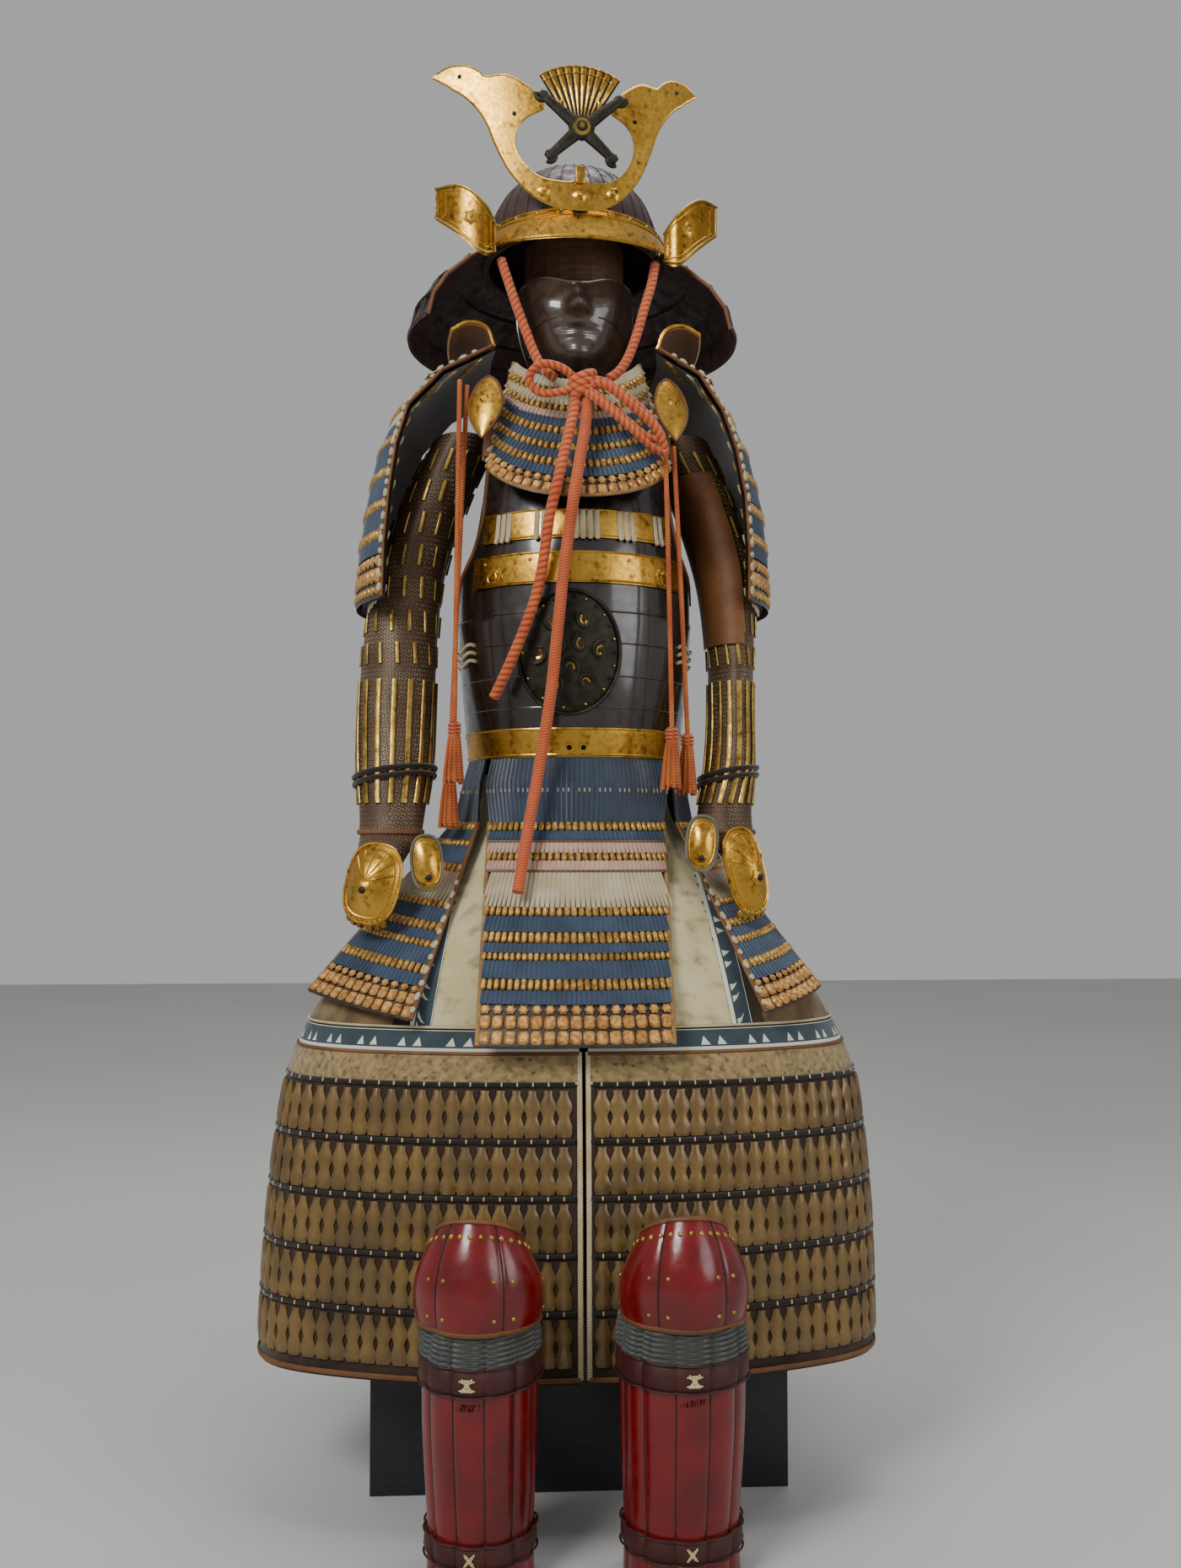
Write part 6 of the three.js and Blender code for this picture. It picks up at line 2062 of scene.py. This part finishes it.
@dataclass
class ShinGuard:
    """A red-lacquered shin guard of upright splints, with a domed knee plate, bands and ties."""

    side: str
    x: float
    y: float
    turn: float
    scale: float
    top: float = 262.0
    rows: Sections = field(default_factory=lambda: Sections(
        "z half reach lean", (262, 54, 66, 4), (230, 57, 68, 2), (170, 57, 66, 0), (110, 55, 61, 3),
        (50, 52, 57, 6), (0, 53, 58, 5)))

    @property
    def place(self) -> Matrix:
        """Returns where the guard stands and how it is turned."""
        return placed((self.x, self.y, 0), (math.radians(self.turn), "Z"))

    def shin(self, u: float, v: float) -> Vector:
        """Returns the shin's point: seven upright splints, each slightly crowned."""
        z = mix(self.top, 2, v)
        row = self.rows.at(z)
        a = math.radians(mix(-112, 112, u))
        crown = 3.2 * abs(math.sin(u * 7 * math.pi)) ** 0.5
        return self.place @ Vector((self.scale * (row["half"] + crown) * math.sin(a),
                                    row["lean"] - (row["reach"] + crown) * math.cos(a), z))

    def share(self, z: float) -> float:
        """Returns the share down the shin at a height."""
        return (self.top - z) / self.top

    def knee(self, u: float, v: float) -> Vector:
        """Returns the knee plate's point: three domed panels."""
        a = math.radians(mix(-96, 96, u))
        swell = math.sin(mix(0.35, 1, v) * math.pi * 0.62)
        panel = 4.0 * abs(math.sin(u * 3 * math.pi)) ** 0.6
        x, y = (66 * swell + panel) * math.sin(a), -(72 * swell + panel) * math.cos(a)
        return self.place @ Vector((x, y, mix(374 - 34 * (u * 2 - 1) ** 2, 266, v)))

    def build(self) -> None:
        """Makes the shin and the knee."""
        shin = Patch(self.shin)
        bm = thicken(shin.lay(84, even_rows(30)), 1.6)
        for high, wide in ((219, 26), (40, 24)):
            join(bm, band(shin, self.share(high), wide, 5.0, 1.4), 2)
        for high in range(236, 262, 5):
            join(bm, band(shin, self.share(high), 5.4, 5.4, 2.0), 1)
        for high in (233, 206, 52, 28):
            join(bm, band(shin, self.share(high), 2.2, 2.6, 3.8), 2)
        for k in range(1, 7):
            join(bm, strip(shin, k / 7, 0.2, 0.8, 1.6, 1.6, 0.2), 4)
        for high, turn in ((219, 0.7), (219, -0.7), (223, 1.57), (214, 1.57), (40, 0.7), (40, -0.7)):
            STOCK.stamp(bm, shin.frame(0.5, self.share(high), 4.2, turn), 3, "bead", 4.0, 20.0)
        for u in (0.0, 1.0):
            join(bm, strip(shin, u, 0.02, 0.98, 6, 4, 0.4), 2)
        finishes = [Dress.RED_LACQUER, Dress.GREEN_BAND, Dress.MAROON_LEATHER, Dress.CREAM_CORD,
                    Dress.DARK_CORD]
        add_piece(f"shin_guard_{self.side}_splints", bm, finishes, [f"shin_guard_{self.side}"])
        knee = Patch(self.knee)
        bm = thicken(knee.lay(60, even_rows(16)), 1.6)
        for v in (0.0, 0.99):
            join(bm, band(knee, v, 5, 4, 0.4), 1)
        for k in range(1, 3):
            join(bm, strip(knee, k / 3, 0.03, 0.97, 2.2, 1.8, 0.2), 3)
        for k in range(15):
            STOCK.stamp(bm, knee.frame(mix(0.06, 0.94, k / 14), 0.12, 0.0), 2, "stud", 2.8, 2.0)
        for k in range(3):
            for u in (0.14, 0.86):
                for v in (0.5, 0.86):
                    STOCK.stamp(bm, knee.frame((k + u) / 3, v, 0.0), 2, "stud", 2.4, 1.8)
        finishes = [Dress.RED_LACQUER, Dress.SMOKED_LEATHER, Dress.PALE_GILT, Dress.DARK_CORD]
        add_piece(f"knee_guard_{self.side}_domed", bm, finishes, [f"knee_guard_{self.side}"])


# ---------------------------------------------------------------- cords, knot and tassels
@dataclass(frozen=True)
class Rope:
    """A free cord that hangs from the armour, by the points of its middle line."""

    name: str
    node: str
    diameter: float
    finish: Finish
    points: Path
    far_end: str = "bare"

    def build(self, with_pieces: Sequence[bpy.types.Object] = ()) -> bpy.types.Object:
        """Makes the cord. with_pieces, the pieces on it, is not used."""
        line = curve(self.points, 4)
        tube = sweep(line, self.diameter, around=14)
        made = add_piece(self.name, tube, [self.finish], [self.node])
        path = [tuple(p * MM) for p in line]
        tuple(path[0])
        length(line) * MM
        return made


@dataclass
class ChinTie:
    """The thick orange cord that ties the helmet on: two runs from the temples, a bow and two free ends."""

    left: Path = (
        (-97, -96, 1500), (-88, -108, 1468), (-78, -118, 1434), (-66, -127, 1398), (-54, -136, 1364),
        (-42, -146, 1342), (-30, -151, 1331))
    right: Path = (
        (100, -92, 1500), (94, -106, 1468), (84, -118, 1434), (74, -127, 1398), (62, -136, 1364),
        (49, -146, 1342), (36, -151, 1331))
    short: Path = (
        (-5, -166, 1304), (-8, -174, 1282), (-14, -182, 1255), (-20, -190, 1228), (-26, -197, 1200),
        (-32, -199, 1174), (-38, -194, 1148), (-42, -187, 1118), (-46, -182, 1090), (-52, -179, 1062),
        (-60, -176, 1036), (-70, -171, 1010), (-81, -164, 984), (-93, -155, 958), (-104, -144, 936))
    long: Path = (
        (10, -167, 1304), (8, -175, 1280), (4, -184, 1250), (-1, -192, 1222), (-5, -199, 1196),
        (-9, -201, 1170), (-13, -197, 1142), (-17, -192, 1112), (-21, -189, 1080), (-25, -188, 1040),
        (-29, -187, 1000), (-34, -184, 950), (-40, -180, 905), (-46, -176, 868), (-52, -176, 832),
        (-58, -180, 800), (-63, -188, 772), (-69, -202, 738), (-75, -217, 700))

    def build_knot(self) -> None:
        """Makes the knot: wound turns, one loop on the left and a double bow on the right."""
        loops = (
            ((0, -160, 1322), (-22, -168, 1338), (-48, -168, 1342), (-62, -164, 1326), (-50, -166, 1308),
             (-24, -170, 1308), (0, -166, 1318)),
            ((4, -162, 1320), (24, -172, 1322), (50, -176, 1306), (82, -172, 1280), (100, -166, 1256),
             (84, -174, 1252), (54, -178, 1274), (26, -178, 1298), (6, -170, 1314)),
            ((4, -166, 1316), (30, -180, 1314), (60, -184, 1290), (92, -178, 1262), (104, -170, 1236),
             (88, -180, 1238), (56, -186, 1264), (26, -184, 1290), (4, -172, 1310)),
        )
        bm = bmesh.new()
        for loop in loops:
            join(bm, sweep(curve(loop, 6), 11.0, 9.0, around=12))
        for k in range(3):
            ring = [Vector((3 + (13 + k) * math.cos(a) * 0.9, -162 - 14 * math.sin(a), 1318 + 9 * (k - 1)
                            + 6 * math.cos(a)))
                    for a in turns(24)]
            draw(bm, ring, 11.0, 0, 12, closed=True)
        add_piece("chin_knot_tied", bm, [Dress.ORANGE_CORD], ["chin_knot"])

    def build(self) -> None:
        """Makes the four runs of cord and the knot."""
        Rope("chin_cord_left_rope", "chin_cord_left", 12, Dress.ORANGE_CORD, self.left, "knot").build()
        Rope("chin_cord_right_rope", "chin_cord_right", 12, Dress.ORANGE_CORD, self.right, "knot").build()
        Rope("chin_cord_short_end", "chin_cord_end_short", 13, Dress.ORANGE_CORD, self.short).build()
        Rope("chin_cord_long_end", "chin_cord_end_long", 14, Dress.SMOOTH_CORD, self.long).build()
        self.build_knot()


@dataclass
class SideCords:
    """The thin orange cords at the sides of the breast, each with a collar and a long tassel."""

    runs: tuple[tuple[str, tuple[float, float, float], tuple[float, float, float]], ...] = (
        ("left_front", (-148, -128, 1334), (-152, -152, 905)),
        ("left_back", (-139, -120, 1330), (-159, -114, 852)),
        ("right_inner", (106, -156, 1248), (112, -168, 898)),
        ("right_outer", (117, -150, 1248), (134, -144, 892)))
    tassel_high: float = 78.0

    def tassel(self, name: str, top: Vector) -> bpy.types.Object:
        """Makes one tassel: a bound collar over a bundle of strands. top is where its cord ends."""
        bm = bmesh.new()
        core = [top - Vector((0, 0, mix(0, self.tassel_high * 0.9, i / 6))) for i in range(7)]
        draw(bm, core, lambda t: mix(11, 22, t), 0, 16)
        for k in range(3):
            ring = [top + Vector((6.4 * math.cos(a), 6.4 * math.sin(a), -4 - 4.4 * k))
                    for a in turns(16)]
            draw(bm, ring, 4.0, 1, 8, closed=True)
        for k in range(26):
            a = k * 2.399
            foot = 8.5 + 5.5 * ((k * 7) % 5) / 5
            long = self.tassel_high - 16 - (k * 5) % 4
            strand = []
            for t, _ in even_rows(7):
                wide = mix(5, foot, t ** 0.7)
                strand.append(top + Vector((math.cos(a) * wide, math.sin(a) * wide, -14 - t * long)))
            draw(bm, strand, 3.2)
        return add_piece(f"tassel_{name}_strands", bm, [Dress.SIDE_CORD, Dress.ORANGE_CORD],
                         [f"tassel_{name}"])

    def build(self) -> None:
        """Makes the four cords, each with its tassel."""
        for name, top, foot in self.runs:
            points = []
            for t, _ in even_rows(16):
                x, y, z = (mix(a, b, t) for a, b in zip(top, foot))
                points.append((x, y - 4 * math.sin(t * math.pi), z))
            tassel = self.tassel(name, Vector(foot))
            Rope(f"side_cord_{name}_hung", f"side_cord_{name}", 6, Dress.SIDE_CORD, tuple(points),
                 "fitting").build([tassel])


# ---------------------------------------------------------------- the stage
@dataclass(frozen=True)
class Studio:
    """The camera, the floor and the lights."""

    eye: tuple[float, float, float] = (-0.0829, -1.8982, 0.757)
    yaw: float = 3.17
    pitch: float = 2.375
    lens: float = 32.92
    aim: Vector = Vector((0, 0, 0.9)).freeze()
    floor_size: float = 12.0
    gap: float = 0.0005
    world: float = 0.85
    world_strength: float = 0.5

    def build_camera(self) -> None:
        """Makes the camera."""
        data = bpy.data.cameras.new("camera")
        data.sensor_width = 36
        data.lens = self.lens
        camera = link("camera", data)
        camera.location = self.eye
        camera.rotation_euler = (math.radians(90 + self.pitch), 0, math.radians(-self.yaw))
        bpy.context.scene.camera = camera

    def light(self, name: str, place: tuple[float, float, float], size: float, watts: float) -> None:
        """Makes a round soft light that faces the middle of the armour.

        Args:
            name: its name.
            place: where it is, in metres.
            size: its width in metres.
            watts: its power.
        """
        data = bpy.data.lights.new(name, "AREA")
        data.shape = "DISK"
        data.size = size
        data.energy = watts
        lamp = link(name, data)
        lamp.location = place
        lamp.rotation_euler = (self.aim - Vector(place)).to_track_quat("-Z", "Y").to_euler()

    def build(self) -> None:
        """Makes the floor, the lights and the even pale surroundings."""
        bm = bmesh.new()
        bmesh.ops.create_grid(bm, x_segments=1, y_segments=1, size=self.floor_size / 2)
        mesh = to_mesh("floor", bm)
        mesh.materials.append(Dress.FLOOR.material())
        floor = link("floor", mesh)
        floor.location.z = -self.gap
        self.light("key", (-1.9, -2.6, 2.9), 1.5, 105)
        self.light("fill", (2.6, -2.2, 1.5), 2.0, 34)
        self.light("top", (0.2, 0.2, 3.4), 1.6, 42)
        world = bpy.data.worlds.new("even_pale_light")
        world.use_nodes = True
        background = world.node_tree.nodes["Background"]
        background.inputs[0].default_value = (self.world, self.world, self.world * 1.01, 1)
        background.inputs[1].default_value = self.world_strength
        bpy.context.scene.world = world


def dress_plain_nodes(nodes: dict[str, bpy.types.Object]) -> None:
    """Gives the chest and the stand, which keep their plain shapes, their wood. nodes are the plain nodes."""
    for name, finish in (("chest_body", Dress.BLACK_WOOD), ("chest_lid", Dress.BLACK_WOOD),
                         ("inner_stand", Dress.PLAIN_WOOD)):
        mesh = nodes[name].data
        mesh.materials.clear()
        mesh.materials.append(finish.material())


def main() -> None:
    """Makes the whole armour."""
    logging.basicConfig(level=logging.INFO, format="%(message)s")
    studio = Studio()
    studio.build_camera()
    ChinTie().build()
    SideCords().build()
    Helmet().build()
    FaceMask().build()
    Cuirass().build()
    for sign, side in ((-1, "left"), (1, "right")):
        ShoulderStrap(sign, f"shoulder_strap_{side}_padded").build()
        ShoulderGuard(sign, f"shoulder_guard_{side}").build()
    ThroatGuard().build()
    Skirt().build()
    Sleeve("left", Sections(
        "z x y wide deep turn", (1284, -148, -6, 40, 70, 0), (1200, -186, -8, 43, 66, 0),
        (1110, -215, -18, 45, 60, 0), (1020, -226, -36, 47, 54, 0), (930, -229, -62, 48, 48, 0),
        (850, -229, -88, 46, 42, 0), (792, -230, -110, 40, 34, 0), (768, -231, -120, 38, 31, 0))).build()
    Sleeve("right", Sections(
        "z x y wide deep turn", (1284, 142, -6, 38, 70, 0), (1200, 176, -8, 38, 66, 0),
        (1110, 200, -18, 36, 62, 0), (1020, 204, -36, 30, 58, 0), (930, 199, -62, 27, 54, 4),
        (850, 193, -88, 30, 46, 6), (792, 184, -112, 34, 34, 0), (768, 186, -122, 33, 31, 0)),
        leather=True).build()
    for plate in (HandPlate("hand_plate_left", -247, -172, 709, 72, 98, 22, 10, -24,
                            (-231, -120, 769, 37, 30)),
                  HandPlate("hand_plate_right", 200, -172, 724, 60, 108, 22, -10, 34,
                            (186, -122, 769, 32, 30)),
                  HandPlate("thumb_plate_left", -183, -178, 734, 36, 66, 9, -4, 8),
                  HandPlate("thumb_plate_right", 147, -178, 757, 36, 67, 10, 4, -5)):
        plate.build()
    for side in ("left", "right"):
        ThighGuard(side).build()
    ShinGuard("left", -114, -376, -9, 1.0).build()
    ShinGuard("right", 98, -376, 3, 1.1).build()
    dress_plain_nodes(frame["nodes"])
    studio.build()


if __name__ == "__main__":
    main()
